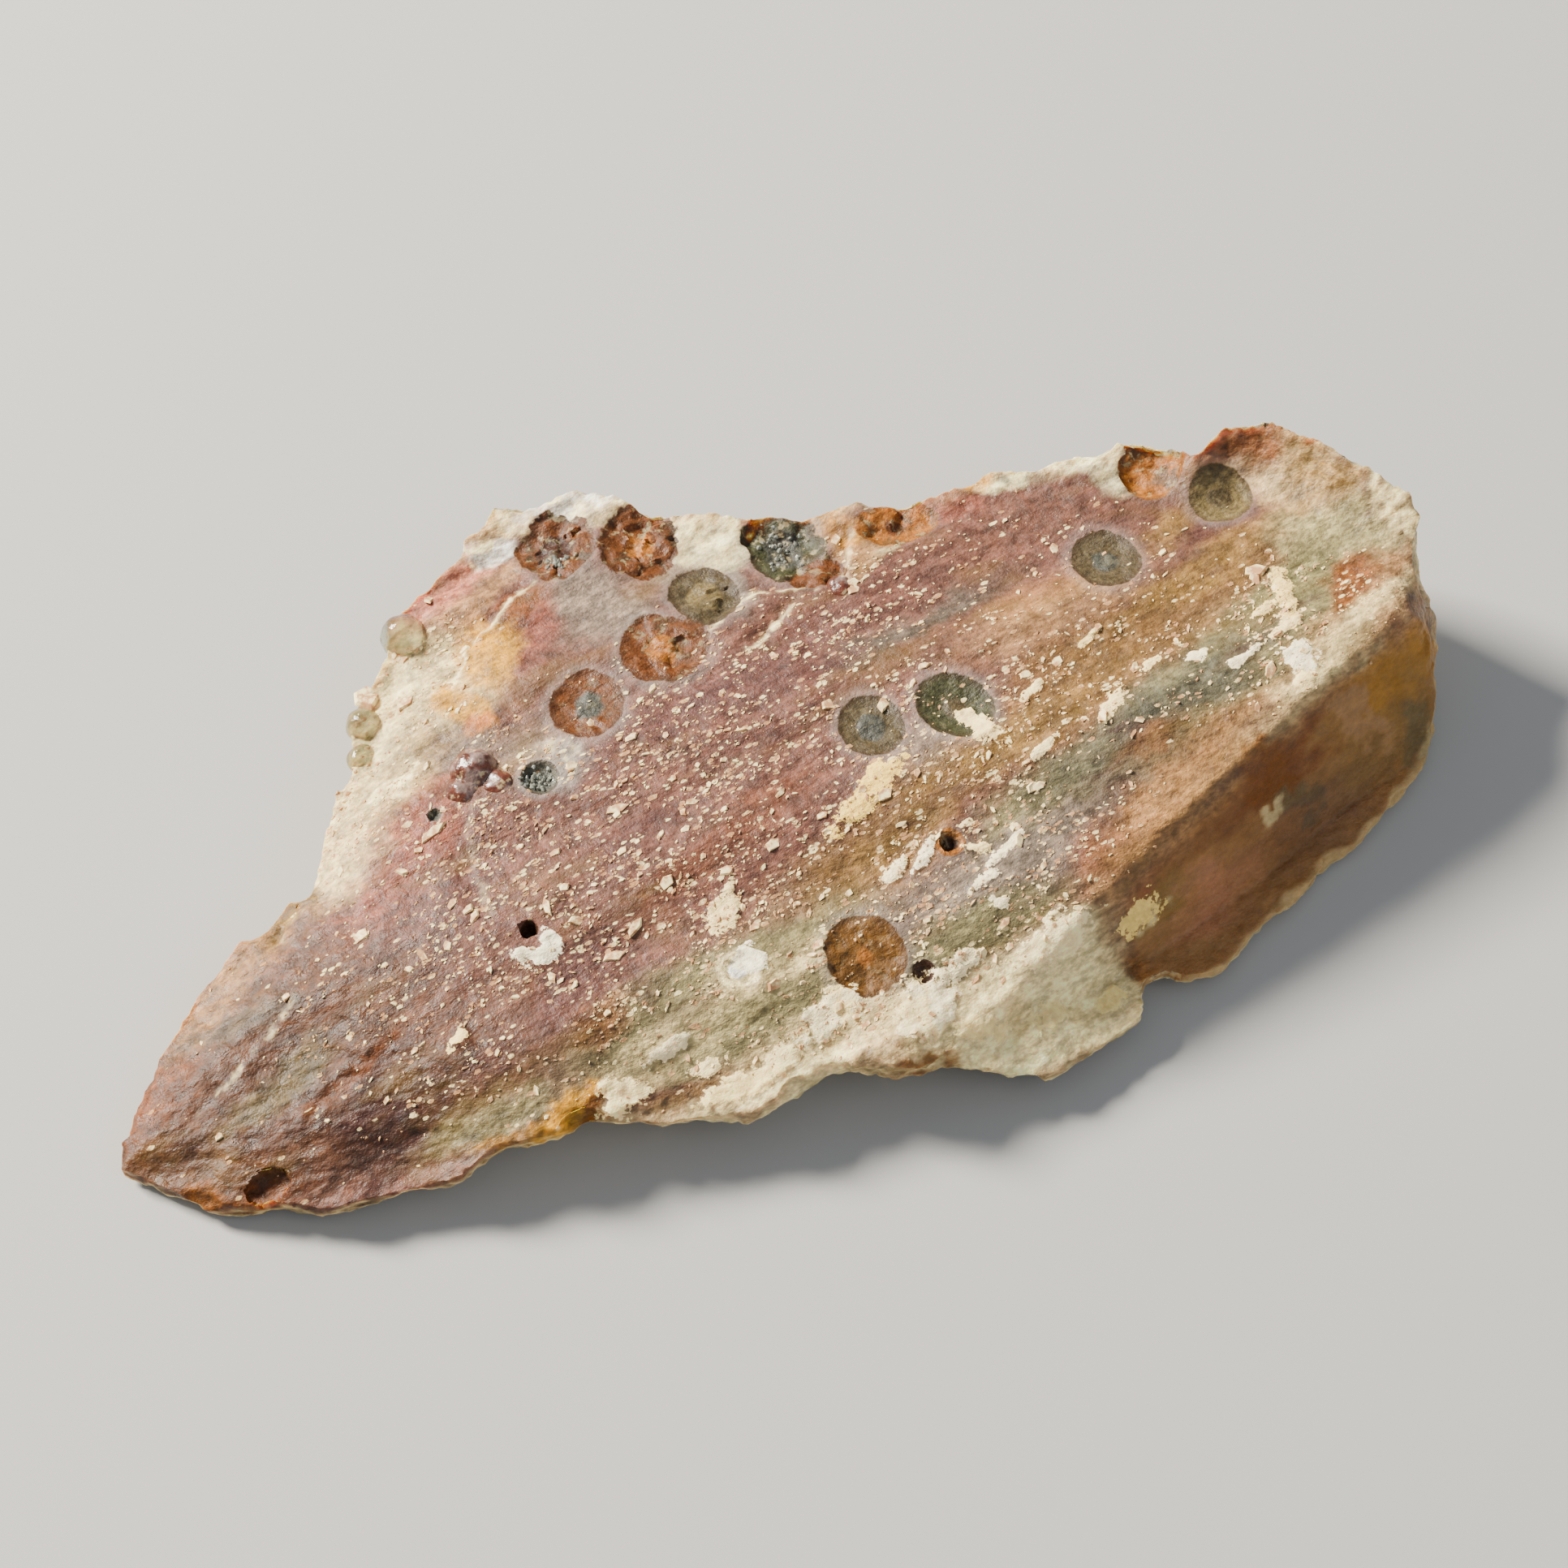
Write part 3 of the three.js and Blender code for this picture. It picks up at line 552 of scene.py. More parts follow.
# Stains that lie only on the steep faces, below the ridge.
STEEP_STAINS = (
    ("fawn", 24, -12.6, 20, 8, 13, 0.3, 1.0),
    ("gold", 30.5, -8.0, 5.5, 3.0, 20, 0.5, 0.9),
    ("honey", 32.6, -6.2, 2.6, 2.2, 30, 0.6, 0.5),
    ("olive", 29.0, -10.8, 6.0, 1.2, 18, 0.7, 0.45),
    ("rust", 22.6, -10.8, 4.4, 0.9, 15, 0.5, 0.8),
    ("amber", 21.0, -11.6, 2.1, 0.9, 2, 0.4, 1.0),
    ("olive", 22.7, -12.5, 1.5, 0.6, 0, 0.4, 0.8),
    ("beige", 21.4, -12.7, 1.0, 0.3, 0, 0.4, 0.6),
    ("tan", 27.3, -10.4, 1.9, 0.55, -14, 0.4, 0.9),
    ("plum", 23.5, -13.4, 4.5, 1.4, 14, 0.8, 0.4),
    ("rust", 16.2, -12.8, 5.0, 1.0, 16, 0.6, 0.55),
    ("rose", 13.2, -13.6, 2.4, 1.2, 20, 0.7, 0.5),
    ("tan", 15.6, -16.0, 4.2, 1.6, 10, 0.8, 0.8),
    ("blush", 17.2, -15.0, 3.0, 1.0, 14, 0.8, 0.35),
    ("ochre", 13.6, -14.8, 2.2, 0.5, 20, 0.6, 0.7),
    ("olive", 31.2, -10.9, 1.3, 1.0, 0, 0.4, 0.8),
)

# Orbs, as the break left them open: x, y, width, length, turn, depth of the socket, outer and
# inner colour, share of the eye, strength of the halo, how ragged the hollow is.
ORBS = (
    (-3.7, 15.8, 3.9, 4.2, 8, 0.34, "russet", "umber", 0.42, 0.2, 1.0),
    (0.1, 14.2, 3.9, 4.6, -30, 0.30, "russet", "copper", 0.34, 0.2, 1.2),
    (1.6, 9.5, 3.4, 4.1, 0, 0.16, "bronze", "olive", 0.50, 0.5, 0.6),
    (-1.6, 7.2, 4.3, 4.3, 0, 0.24, "russet", "copper", 0.35, 0.5, 0.8),
    (-6.2, 5.8, 3.5, 3.9, -18, 0.2, "russet", "flint", 0.40, 0.5, 0.6),
    (5.3, -1.7, 3.1, 3.5, 0, 0.13, "bronze", "flint", 0.42, 0.5, 0.3),
    (9.3, -2.5, 3.4, 4.1, 20, 0.3, "moss", "bronze", 0.30, 0.5, 0.3),
    (19.9, 2.1, 3.3, 3.8, 0, 0.2, "bronze", "flint", 0.36, 0.4, 0.3),
    (26.8, 3.0, 3.1, 3.2, 20, 0.14, "olive", "bronze", 0.38, 0.4, 0.3),
    (24.5, 6.0, 3.0, 3.2, 30, 0.55, "copper", "copper", 0.40, 0.1, 1.0),
    (12.0, 9.2, 4.0, 2.8, -12, 0.35, "copper", "russet", 0.30, 0.1, 0.9),
    (6.4, 10.7, 3.9, 4.6, 10, 0.45, "moss", "flint", 0.50, 0.4, 1.0),
    (7.1, 8.2, 2.9, 2.3, -20, 0.4, "russet", "russet", 0.30, 0.3, 0.8),
    (0.0, -12.1, 3.6, 3.8, 20, 0.24, "tawny", "copper", 0.22, 0.5, 0.5),
    (-5.6, -10.4, 2.1, 2.1, 0, 0.12, "cream", "white", 0.42, 0.0, 0.7),
    (-9.9, 2.8, 1.9, 1.9, 0, 0.0, "slate", "flint", 0.6, 0.8, 0.2),
    (2.1, -13.9, 1.1, 1.1, 0, 0.0, "umber", "umber", 0.6, 0.2, 0.2),
    (5.9, -8.8, 1.4, 1.4, 0, 0.0, "copper", "umber", 0.62, 0.2, 0.8),
    (-13.5, -4.5, 0.85, 0.85, 0, 0.0, "umber", "umber", 0.6, 0.0, 0.2),
    (-15.1, 3.3, 0.7, 0.7, 0, 0.0, "slate", "flint", 0.5, 0.6, 0.2),
)

# Chalky crusts: x, y, half length, half width, turn, tone from white 0 to yellow 1.
CRUSTS = (
    (3.4, -5.1, 2.5, 0.6, 24, 1.0), (4.6, -4.4, 0.9, 0.7, 0, 1.0), (-4.9, -7.4, 1.5, 0.7, 45, 0.6),
    (-12.6, -13.2, 1.1, 0.95, 0, 0.5), (-2.6, -13.8, 1.7, 0.75, 12, 0.3), (-5.4, -14.7, 0.9, 0.6, 0, 0.5),
    (8.3, -14.9, 1.8, 0.8, 12, 0.4), (2.0, -15.2, 1.2, 1.1, -30, 0.2), (3.6, -14.3, 1.2, 0.5, 10, 0.3),
    (25.0, -7.6, 0.9, 0.8, -20, 0.1), (24.5, -8.8, 0.8, 0.4, 20, 0.6), (26.4, -3.9, 0.5, 1.8, -18, 0.8),
    (25.6, -5.6, 1.1, 0.4, 20, 0.6), (25.0, -4.2, 0.9, 0.35, 12, 0.7), (15.8, -5.9, 1.2, 0.4, 40, 0.6),
    (-18.4, -7.9, 0.7, 0.35, 28, 0.7), (6.9, -9.6, 0.6, 0.3, -20, 0.6), (7.2, -8.3, 0.5, 0.2, 0, 0.5),
    (-7.6, -14.9, 2.0, 0.5, -6, 0.6),
    (12.9, -14.9, 1.4, 0.35, 18, 0.9), (4.4, -9.0, 1.4, 0.3, 40, 0.1), (20.9, -5.2, 0.6, 0.4, 0, 0.2),
    (9.6, -3.2, 0.5, 0.7, 10, 0.6), (10.0, -4.4, 0.65, 1.1, 24, 0.6), (-13.4, -6.0, 1.0, 0.45, 8, 0.0),
    (-12.8, -5.4, 0.4, 0.6, 20, 0.0), (-14.3, -5.5, 0.45, 0.5, 0, 0.1), (7.0, -17.4, 1.1, 0.6, 8, 0.6),
    (3.4, -17.0, 1.2, 0.5, -20, 0.6), (10.3, -17.4, 0.9, 0.4, 20, 0.7), (18.7, -4.6, 1.0, 0.25, 24, 0.6),
    (13.0, -3.4, 1.0, 0.25, 24, 0.6), (16.8, -1.9, 0.8, 0.22, 24, 0.7), (11.9, -6.6, 1.0, 0.25, 20, 0.5),
    (22.6, -6.4, 1.0, 0.3, 10, 0.2), (8.0, -10.3, 1.2, 0.3, 24, 0.2), (6.4, -11.3, 1.0, 0.3, 12, 0.2),
    (-9.9, -12.2, 1.0, 0.3, 10, 0.3), (0.6, -15.9, 0.8, 0.5, 0, 0.3), (-8.6, -13.5, 0.9, 0.35, -6, 0.5),
    (-5.0, -10.3, 0.7, 0.8, 0, 0.0), (1.2, -15.4, 1.4, 1.0, 60, 0.5), (6.6, -12.5, 0.5, 0.25, -20, 0.2),
    (-1.9, -13.6, 0.8, 1.0, 0, 0.6), (3.0, -9.0, 1.0, 0.35, 30, 0.3),
)

# Steps, where the surface drops to the right of the line and comes back slowly: points, drop,
# reach, and how strong the painted highlight is: a cream line along the broken edge.
STEPS = (
    (((-4.9, 14.2), (-6.7, 13.8), (-8.7, 12.5), (-10.2, 11.6), (-11.9, 9.6)), 0.34, 2.6, 0.9),
    (((7.0, 6.8), (5.3, 7.7), (3.7, 8.3), (2.0, 7.8), (0.5, 6.7)), 0.22, 1.2, 0.9),
    (((5.9, 6.9), (4.5, 6.2), (3.3, 5.5), (1.7, 5.2)), 0.18, 1.0, 0.9),
    (((-23.9, -1.9), (-25.3, -3.0), (-27.7, -4.3), (-29.9, -5.4), (-31.5, -6.0)), 0.16, 1.6, 0.4),
    (((-27.2, -8.6), (-26.0, -7.7), (-24.3, -6.7), (-21.8, -6.2), (-20.0, -6.3)), 0.16, 2.4, 0.0),
    (((-34.0, -5.8), (-32.7, -6.2), (-31.3, -6.7), (-29.2, -7.4)), 0.16, 1.4, 0.0),
    (((-12.9, 3.4), (-14.0, 1.5), (-14.5, -1.0), (-14.7, -3.6)), 0.14, 1.6, 0.12),
    (((12.3, -15.4), (13.6, -14.8), (14.9, -14.3)), 0.30, 1.0, 0.6),
    (((-21.9, 2.3), (-23.2, 1.7), (-24.2, 0.7)), 0.30, 1.2, 0.2),
    (((10.4, 10.2), (9.2, 8.6), (8.2, 7.0), (7.9, 5.6)), 0.5, 1.6, 0.5),
)

# Clear and rusty nodules that stand out of the surface: x, y, height of the middle, radius.
CLEAR_NODULES = ((-12.5, 14.5, 3.95, 1.15), (-16.1, 10.6, 3.6, 0.9), (-16.8, 8.9, 3.35, 0.8))
RUSTY_NODULES = ((-4.4, 8.5, 4.9, 0.5), (7.7, 6.7, 5.85, 0.75))
LUMP_LOBES = ((-12.5, 4.8, 5.2, 1.15), (-13.4, 3.9, 4.95, 0.95), (-11.7, 3.5, 5.0, 1.0),
              (-12.7, 3.5, 4.8, 0.8))


# ------------------------------------------------------------------ mesh work

def fresh():
    """Nothing is selected or active, as every piece starts."""
    if bpy.context.object and bpy.context.object.mode != "OBJECT":
        bpy.ops.object.mode_set(mode="OBJECT")
    bpy.ops.object.select_all(action="DESELECT")
    bpy.context.view_layer.objects.active = None


def pick(obj):
    """The object alone is selected and active."""
    fresh()
    obj.select_set(True)
    bpy.context.view_layer.objects.active = obj


def points_of(obj):
    flat = np.empty(len(obj.data.vertices) * 3)
    obj.data.vertices.foreach_get("co", flat)
    return flat.reshape(-1, 3)


def facings_of(obj):
    obj.data.update()
    flat = np.empty(len(obj.data.vertices) * 3, np.float32)
    obj.data.vertices.foreach_get("normal", flat)
    return unit(flat.reshape(-1, 3))


def move_points(obj, points):
    obj.data.vertices.foreach_set("co", np.asarray(points, float).ravel())
    obj.data.update()


def store(obj, name, values, kind="FLOAT"):
    """Keeps a value for every vertex, for the material to read."""
    layer = obj.data.attributes.new(name, kind, "POINT")
    values = np.asarray(values, np.float32)
    if kind == "FLOAT_COLOR":
        values = np.concatenate([values, np.ones((len(values), 1), np.float32)], 1)
    field = {"FLOAT": "value", "FLOAT_COLOR": "color"}[kind]
    layer.data.foreach_set(field, values.ravel())


def apply_modifier(obj, kind, **settings):
    bpy.ops.object.modifier_add(type=kind)
    modifier = obj.modifiers[-1]
    for key, value in settings.items():
        setattr(modifier, key, value)
    bpy.ops.object.modifier_apply(modifier=modifier.name)


def remesh(obj, size):
    obj.data.remesh_voxel_size = size
    bpy.ops.object.voxel_remesh()


def press(points, centre, half):
    """Pushes the points inside a ball out to its surface."""
    centre, half = np.array(centre, float), np.array(half, float)
    offset = (points - centre) / half
    length = np.linalg.norm(offset, axis=1)
    inside = length < 1
    points[inside] = centre + half * offset[inside] / np.maximum(length[inside, None], 1e-6)


def rim_slab(thickness):
    """A flat slab with the outline of the rim, in mm."""
    fresh()
    bpy.ops.mesh.primitive_circle_add(vertices=len(RIM), fill_type="NGON")
    slab = bpy.context.object
    move_points(slab, np.column_stack([RIM[::-1, :2], np.zeros(len(RIM))]))
    bpy.ops.object.mode_set(mode="EDIT")
    bpy.ops.mesh.select_all(action="SELECT")
    bpy.ops.mesh.extrude_region_move(TRANSFORM_OT_translate={"value": (0, 0, thickness)})
    bpy.ops.mesh.select_all(action="SELECT")
    bpy.ops.mesh.normals_make_consistent(inside=False)
    bpy.ops.object.mode_set(mode="OBJECT")
    return slab


def cut_ball(stone, centre, half):
    bpy.ops.mesh.primitive_uv_sphere_add(segments=28, ring_count=18, radius=1, location=centre, scale=half)
    ball = bpy.context.object
    pick(stone)
    apply_modifier(stone, "BOOLEAN", operation="DIFFERENCE", object=ball, solver="EXACT")
    bpy.data.objects.remove(ball)


def rough_blank(fine):
    """The broken piece before its small marks: faces, bites and dents, at an even fine spacing."""
    stone = rim_slab(SLAB_THICKNESS)
    remesh(stone, COARSE_SPACING)
    points = points_of(stone)
    x, y = points[:, 0], points[:, 1]
    rim = nearest_rim(x, y)
    share = np.clip(points[:, 2] / SLAB_THICKNESS, 0, 1)
    points[:, 2] = underside_at(x, y, rim) * (1 - share) + top_at(x, y, rim) * share
    move_points(stone, points)
    for middle, half in BITES:
        cut_ball(stone, middle, half)
    for point, facing, radius, depth in DENTS:
        middle = np.array(point) + unit(facing) * (radius - depth)
        cut_ball(stone, middle, (radius,) * 3)
    remesh(stone, fine)
    settle_on_faces(stone)
    return stone


def settle_on_faces(stone):
    """Takes the remeshed points near the two broken faces exactly onto them."""
    points, facing = points_of(stone), facings_of(stone)
    rim = nearest_rim(points[:, 0], points[:, 1])
    for face, side in ((top_at, 1), (underside_at, -1)):
        height = face(points[:, 0], points[:, 1], rim)
        slope = facing[:, 2] * side
        near = (slope > SNAP_SLOPE) & (np.abs(points[:, 2] - height) < SNAP_REACH)
        points[near, 2] = height[near]
    points[:, 2] = np.maximum(points[:, 2], REST_SPOT_HEIGHT)
    move_points(stone, points)


def line_side(x, y, line):
    """Distance from a line of points, positive to its right, and how near its ends, from 0 to 1."""
    nearest, side, along = np.full(x.shape, 1e9), np.zeros(x.shape), np.zeros(x.shape)
    line = np.array(line, float)
    lengths = np.linalg.norm(np.diff(line, axis=0), axis=1)
    before = 0
    for start, end, length in zip(line[:-1], line[1:], lengths):
        direction = (end - start) / length
        dx, dy = x - start[0], y - start[1]
        run = dx * direction[0] + dy * direction[1]
        held = np.clip(run, 0, length)
        gap = np.hypot(dx - held * direction[0], dy - held * direction[1])
        across = dx * direction[1] - dy * direction[0]
        closer = gap < nearest
        nearest = np.where(closer, gap, nearest)
        side = np.where(closer, np.sign(across), side)
        along = np.where(closer, (before + held) / lengths.sum(), along)
        before += length
    return nearest * side, np.clip(4 * np.minimum(along, 1 - along), 0, 1)


def crust_reach(points, crust):
    """How far out from a crust's middle each point is: 1 at its ragged edge."""
    halves = (crust.half_length, crust.half_width)
    reach = oval_reach(points[:, 0], points[:, 1], (crust.x, crust.y), halves, crust.turn)
    near = reach < FAR_FROM_CRUSTS
    own_seed = int(abs(crust.x * 7 + crust.y)) % 50
    reach[near] += CRUST_RAGGEDNESS * rough_noise(points[near], 0.8, 3, own_seed, 0.7)
    return reach


def orb_reach(points, orb):
    """How far out from an orb's middle each point is: 1 at the edge of its socket."""
    halves = (orb.width / 2, orb.length / 2)
    reach = oval_reach(points[:, 0], points[:, 1], (orb.x, orb.y), halves, orb.turn)
    near = reach < FAR_FROM_ORBS
    reach[near] += orb.broken * (0.16 * noise(points[near], 1.5, 3) + 0.09 * noise(points[near], 0.6, 6))
    return reach


def carve_orbs(points, facing):
    """Sockets with crisp edges, an eye in the middle and broken facets inside the ragged ones."""
    top = facing[:, 2] > TOP_SLOPE
    for orb in map(Orb._make, ORBS):
        depth, ragged, eye = orb.depth, orb.broken, orb.eye
        r = orb_reach(points, orb)
        inside = top & (r < 1)
        bowl = depth * np.clip(1 - r[inside] ** 2, 0, 1) ** max(0.95 - 0.5 * ragged, 0.4)
        gap, tone = cells(points[inside], 0.75, 4)
        facets = ragged * (0.34 * (tone - 0.45) + 0.16 * (gap - 0.5)) * smooth(1, 0.75, r[inside])
        bump = (1 - ragged) * 0.12 * smooth(eye, eye * 0.6, r[inside])
        points[inside, 2] += facets + bump - bowl
        lip = top & (r >= 1) & (r < LIP_REACH)
        points[lip, 2] += LIP_HEIGHT * (1 - ragged) * smooth(LIP_REACH, 1, r[lip])


def carve_pits(points, facing):
    for x, y, radius, depth in PITS:
        r = np.hypot(points[:, 0] - x, points[:, 1] - y) / radius
        inside = (r < 1) & (facing[:, 2] > TOP_SLOPE)
        points[inside, 2] -= depth * np.sqrt(1 - r[inside] ** 2)


def step_wander(points):
    """Shakes the line of a step, the same way for its form and its painted highlight line."""
    return 0.18 * rough_noise(points, 0.8, 2, 21)


def carve_steps(points, facing):
    wander = step_wander(points)
    for line, drop, reach, _ in STEPS:
        side, middle = line_side(points[:, 0], points[:, 1], line)
        side = side + wander
        fall = drop * middle * smooth(0, 0.3, side) * (1 - smooth(0.3, reach, side))
        points[:, 2] -= fall * np.clip(facing[:, 2], 0, 1)


def carve_chips(points, rng):
    """Small shell-shaped chips all the way round the rim."""
    ends = np.roll(RIM, -1, axis=0)
    lengths = np.linalg.norm(ends[:, :2] - RIM[:, :2], axis=1)
    for _ in range(CHIP_COUNT):
        k = rng.choice(len(RIM), p=lengths / lengths.sum())
        t = rng.random()
        spot = RIM[k] * (1 - t) + ends[k] * t
        along = (ends[k] - RIM[k])[:2] / lengths[k]
        outward = np.array((-along[1], along[0]))
        on_top = rng.random() < TOP_CHIP_SHARE
        rise = rng.uniform(*CHIP_RISE) * (1 if on_top else -1)
        facing = unit(np.append(outward, rise))
        radius = rng.uniform(*CHIP_RADIUS)
        depth = radius * rng.uniform(*CHIP_DEPTH_SHARE)
        height = spot[3] if on_top else spot[2]
        middle = np.append(spot[:2], height) + facing * (radius - depth)
        press(points, middle, (radius,) * 3)


def tip_share(points):
    """1 on the thin tip, 0 on the rest."""
    return smooth(-17, -21, points[:, 0])


def roughness_at(points):
    """How coarse the break is: coarse at the rim and the tip, calm on the waxy back right."""
    near_rim = 0.9 * smooth(2.0, 0.2, nearest_rim(points[:, 0], points[:, 1])[0])
    return 0.75 + near_rim - field_weight(points, CALM_FIELD) + field_weight(points, SCALY_FIELD)


def weather(points, facing):
    """The fine relief of the break, along the normals."""
    x, y = points[:, 0], points[:, 1]
    streaked = along_streaks(points) * np.array((0.42, 1, 1))
    relief = 0.085 * noise(streaked, 1.7, 31) + 0.065 * noise(streaked, 0.85, 32)
    relief += 0.05 * noise(points, 0.45, 33)
    gap, tone = cells(streaked, 1.25, 34)
    relief += 0.09 * (tone - 0.5) * smooth(0.75, 0.45, gap)
    tip = tip_share(points)
    skin = turned(points, SKIN_TURN) * np.array((0.5, 1, 1))
    wrinkles = 0.075 * noise(skin, 0.42, 38) + 0.05 * noise(skin, 0.8, 39)
    relief = relief * roughness_at(points) * (1 - 0.55 * tip) + wrinkles * (0.25 + 0.75 * tip)
    swells = 0.1 * noise(points, 4.5, 35)
    ripple_at = (y + 0.3 * x + 0.35 * noise(points, 1.6, 36)) / 0.42
    zone = tip * smooth(-4.6, -6.6, y)
    ripples = 0.03 * np.sin(2 * np.pi * ripple_at) * zone * smooth(-0.3, 0.5, noise(points, 1.1, 37))
    bottom = np.clip(-facing[:, 2], 0, 1)
    return points + facing * (relief + swells * (1 - bottom) + ripples)[:, None]


def steepness_at(points):
    """How surely each point lies on the steep faces, from 0 to 1."""
    x, y = points[:, 0], points[:, 1]
    below_ridge = inner_top(x, y) - steep_faces_at(x, y) + 0.4 * rough_noise(points, 1.6, 2, 63)
    return smooth(0.1, 1.7, below_ridge) * smooth(11.6, 13.2, x + 0.4 * noise(points, 1.2, 66))


def crust_field(points):
    """The nearest crust: below 1 inside it, and its tone."""
    nearest, tone = np.full(len(points), NO_CRUST), np.zeros(len(points))
    for crust in map(Crust._make, CRUSTS):
        reach = crust_reach(points, crust)
        tone = np.where(reach < nearest, crust.tone, tone)
        nearest = np.minimum(nearest, reach)
    return nearest, tone


def raise_crusts(points, facing):
    field, _ = crust_field(points)
    lift = CRUST_HEIGHT * smooth(1.0, 0.8, field) * (1 + 0.9 * noise(points, 0.45, 41))
    points[:, 2] += lift * smooth(0.2, 0.5, facing[:, 2])


def keep_in_box(points):
    """Holds the piece just inside the box of the plain solid."""
    low, high = (np.array(c) / MM for c in CAD_BOX)
    np.clip(points, low + (BOX_MARGIN, BOX_MARGIN, 0), high - BOX_MARGIN, out=points)


def hold_in_box(obj):
    """The same for a piece that is already made, in mm."""
    points = points_of(obj)
    keep_in_box(points)
    move_points(obj, points)


def thin_underside(stone, keep):
    """Fewer faces underneath, where the stone is plain."""
    under = facings_of(stone)[:, 2] < UNDER_SLOPE
    pick(stone)
    stone.data.polygons.foreach_set("select", np.zeros(len(stone.data.polygons), bool))
    stone.data.edges.foreach_set("select", np.zeros(len(stone.data.edges), bool))
    stone.data.vertices.foreach_set("select", under)
    bpy.ops.object.mode_set(mode="EDIT")
    bpy.ops.mesh.select_mode(type="VERT")
    bpy.ops.mesh.decimate(ratio=keep)
    bpy.ops.object.mode_set(mode="OBJECT")


def shade(obj, angle=40):
    pick(obj)
    bpy.ops.object.shade_smooth_by_angle(angle=math.radians(angle))


def finish_piece(obj, name, material):
    """In metres at the origin, named, and set in the frame."""
    obj.name = name
    obj.data.name = name
    obj.data.transform(Matrix.Scale(MM, 4))
    obj.data.materials.clear()
    obj.data.materials.append(material)
    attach(obj, "root")


# ------------------------------------------------------------------ where the colours lie

def stain_weight(points, warp, stain):
    """How strongly a stain covers each point, after the warp has shaken its outline."""
    x, y = points[:, 0] + warp[0], points[:, 1] + warp[1]
    reach = oval_reach(x, y, (stain.x, stain.y), (stain.half_length, stain.half_width), stain.turn)
    return stain.strength * smooth(1 + stain.softness * 0.6, 1 - stain.softness, reach)


def paleness(tint):
    """How near a colour is to white, from 0 to 1."""
    return smooth(0.12, 0.3, tint.min(1))


def tint_at(points, facing):
    """The colour of the stone at each point, from the stains that lie over each other, with painted
    highlights along the steps' edges and the front lobe partly painted lighter.
    """
    base = np.tile(np.array(PALETTE["mauve"]), (len(points), 1))
    streaked = along_streaks(points) * np.array((0.35, 1, 1))
    warp = [1.1 * noise(points, 3.4, 51) + 0.5 * noise(points, 1.2, 52) + 0.3 * noise(points, 0.5, 59),
            0.8 * noise(streaked, 1.9, 53) + 0.4 * noise(points, 0.9, 54) + 0.25 * noise(points, 0.45, 60)]
    edge = nearest_rim(points[:, 0], points[:, 1])[0] + 0.5 * noise(points, 1.6, 55)
    steep = steepness_at(points)
    under = smooth(0.1, -0.25, facing[:, 2])

    def lay(colour, weight):
        base[:] += (np.array(PALETTE[colour]) - base) * weight[:, None]

    lay("beige", 0.4 * smooth(1.1, 0.1, edge) * smooth(-22, -14, points[:, 0]))
    for stain in map(Stain._make, STAINS):
        lay(stain.colour, stain_weight(points, warp, stain))
    for stain in map(Stain._make, STEEP_STAINS):
        lay(stain.colour, stain_weight(points, warp, stain) * steep)
    # Painted light: the mottling is cut back toward the front lobe (y below -13), so that the lobe stays pale
    # as if lit where it faces away from the key light.
    pale = paleness(base) * (1 - 0.6 * smooth(-13, -15, points[:, 1]))
    lay("sage", 0.55 * pale * smooth(0.0, 0.6, rough_noise(streaked, 1.0, 3, 64)))
    lay("grey", 0.5 * pale * smooth(0.1, 0.6, rough_noise(points, 0.7, 3, 67)))
    lay("honey", 0.35 * pale * smooth(0.2, 0.6, rough_noise(points, 0.8, 3, 68)))
    lay("cream", 0.8 * pale * smooth(0.1, 0.4, rough_noise(points, 0.9, 3, 65)))
    lay("beige", 0.4 * steep * smooth(0.35, 0.05, edge))
    wander = step_wander(points)
    gaps = smooth(-0.2, 0.2, noise(points, 0.6, 62))
    # Painted highlight: a cream line along each step's broken edge, where the edge catches the light.
    for line, _, _, pale in STEPS:
        side, middle = line_side(points[:, 0], points[:, 1], line)
        painted_highlight_line = smooth(0.24, 0.06, np.abs(side + wander - 0.1)) * smooth(0.1, 0.5, middle)
        lay("cream", pale * painted_highlight_line * gaps * (1 - under))
    lay("beige", 0.75 * under * smooth(3.5, 0.6, edge))
    lay("ochre", 0.35 * under * smooth(-0.2, 0.7, noise(points, 7, 57)))
    lay("sage", 0.5 * under * smooth(0, 0.8, noise(points, 9, 58)))
    return base


def fleck_density(points, facing):
    """How thickly the flecks and flakes lie, from 0 to 1."""
    fields = [field_weight(points, field) for field in FLECK_FIELDS]
    flat = smooth(0.55, 0.85, facing[:, 2])
    clusters = smooth(-0.7, 0.5, noise(along_streaks(points) * np.array((0.4, 1, 1)), 1.3, 71))
    spread = np.max([TIP_FLECKS * tip_share(points), *fields], axis=0)
    spread = spread * (1 - field_weight(points, FLECKLESS_FIELD))
    for orb in map(Orb._make, ORBS):
        spread = spread * (1 - 0.85 * smooth(1.1, 0.95, orb_reach(points, orb)))
    return np.clip(spread * clusters * 1.25, 0, 1) * flat


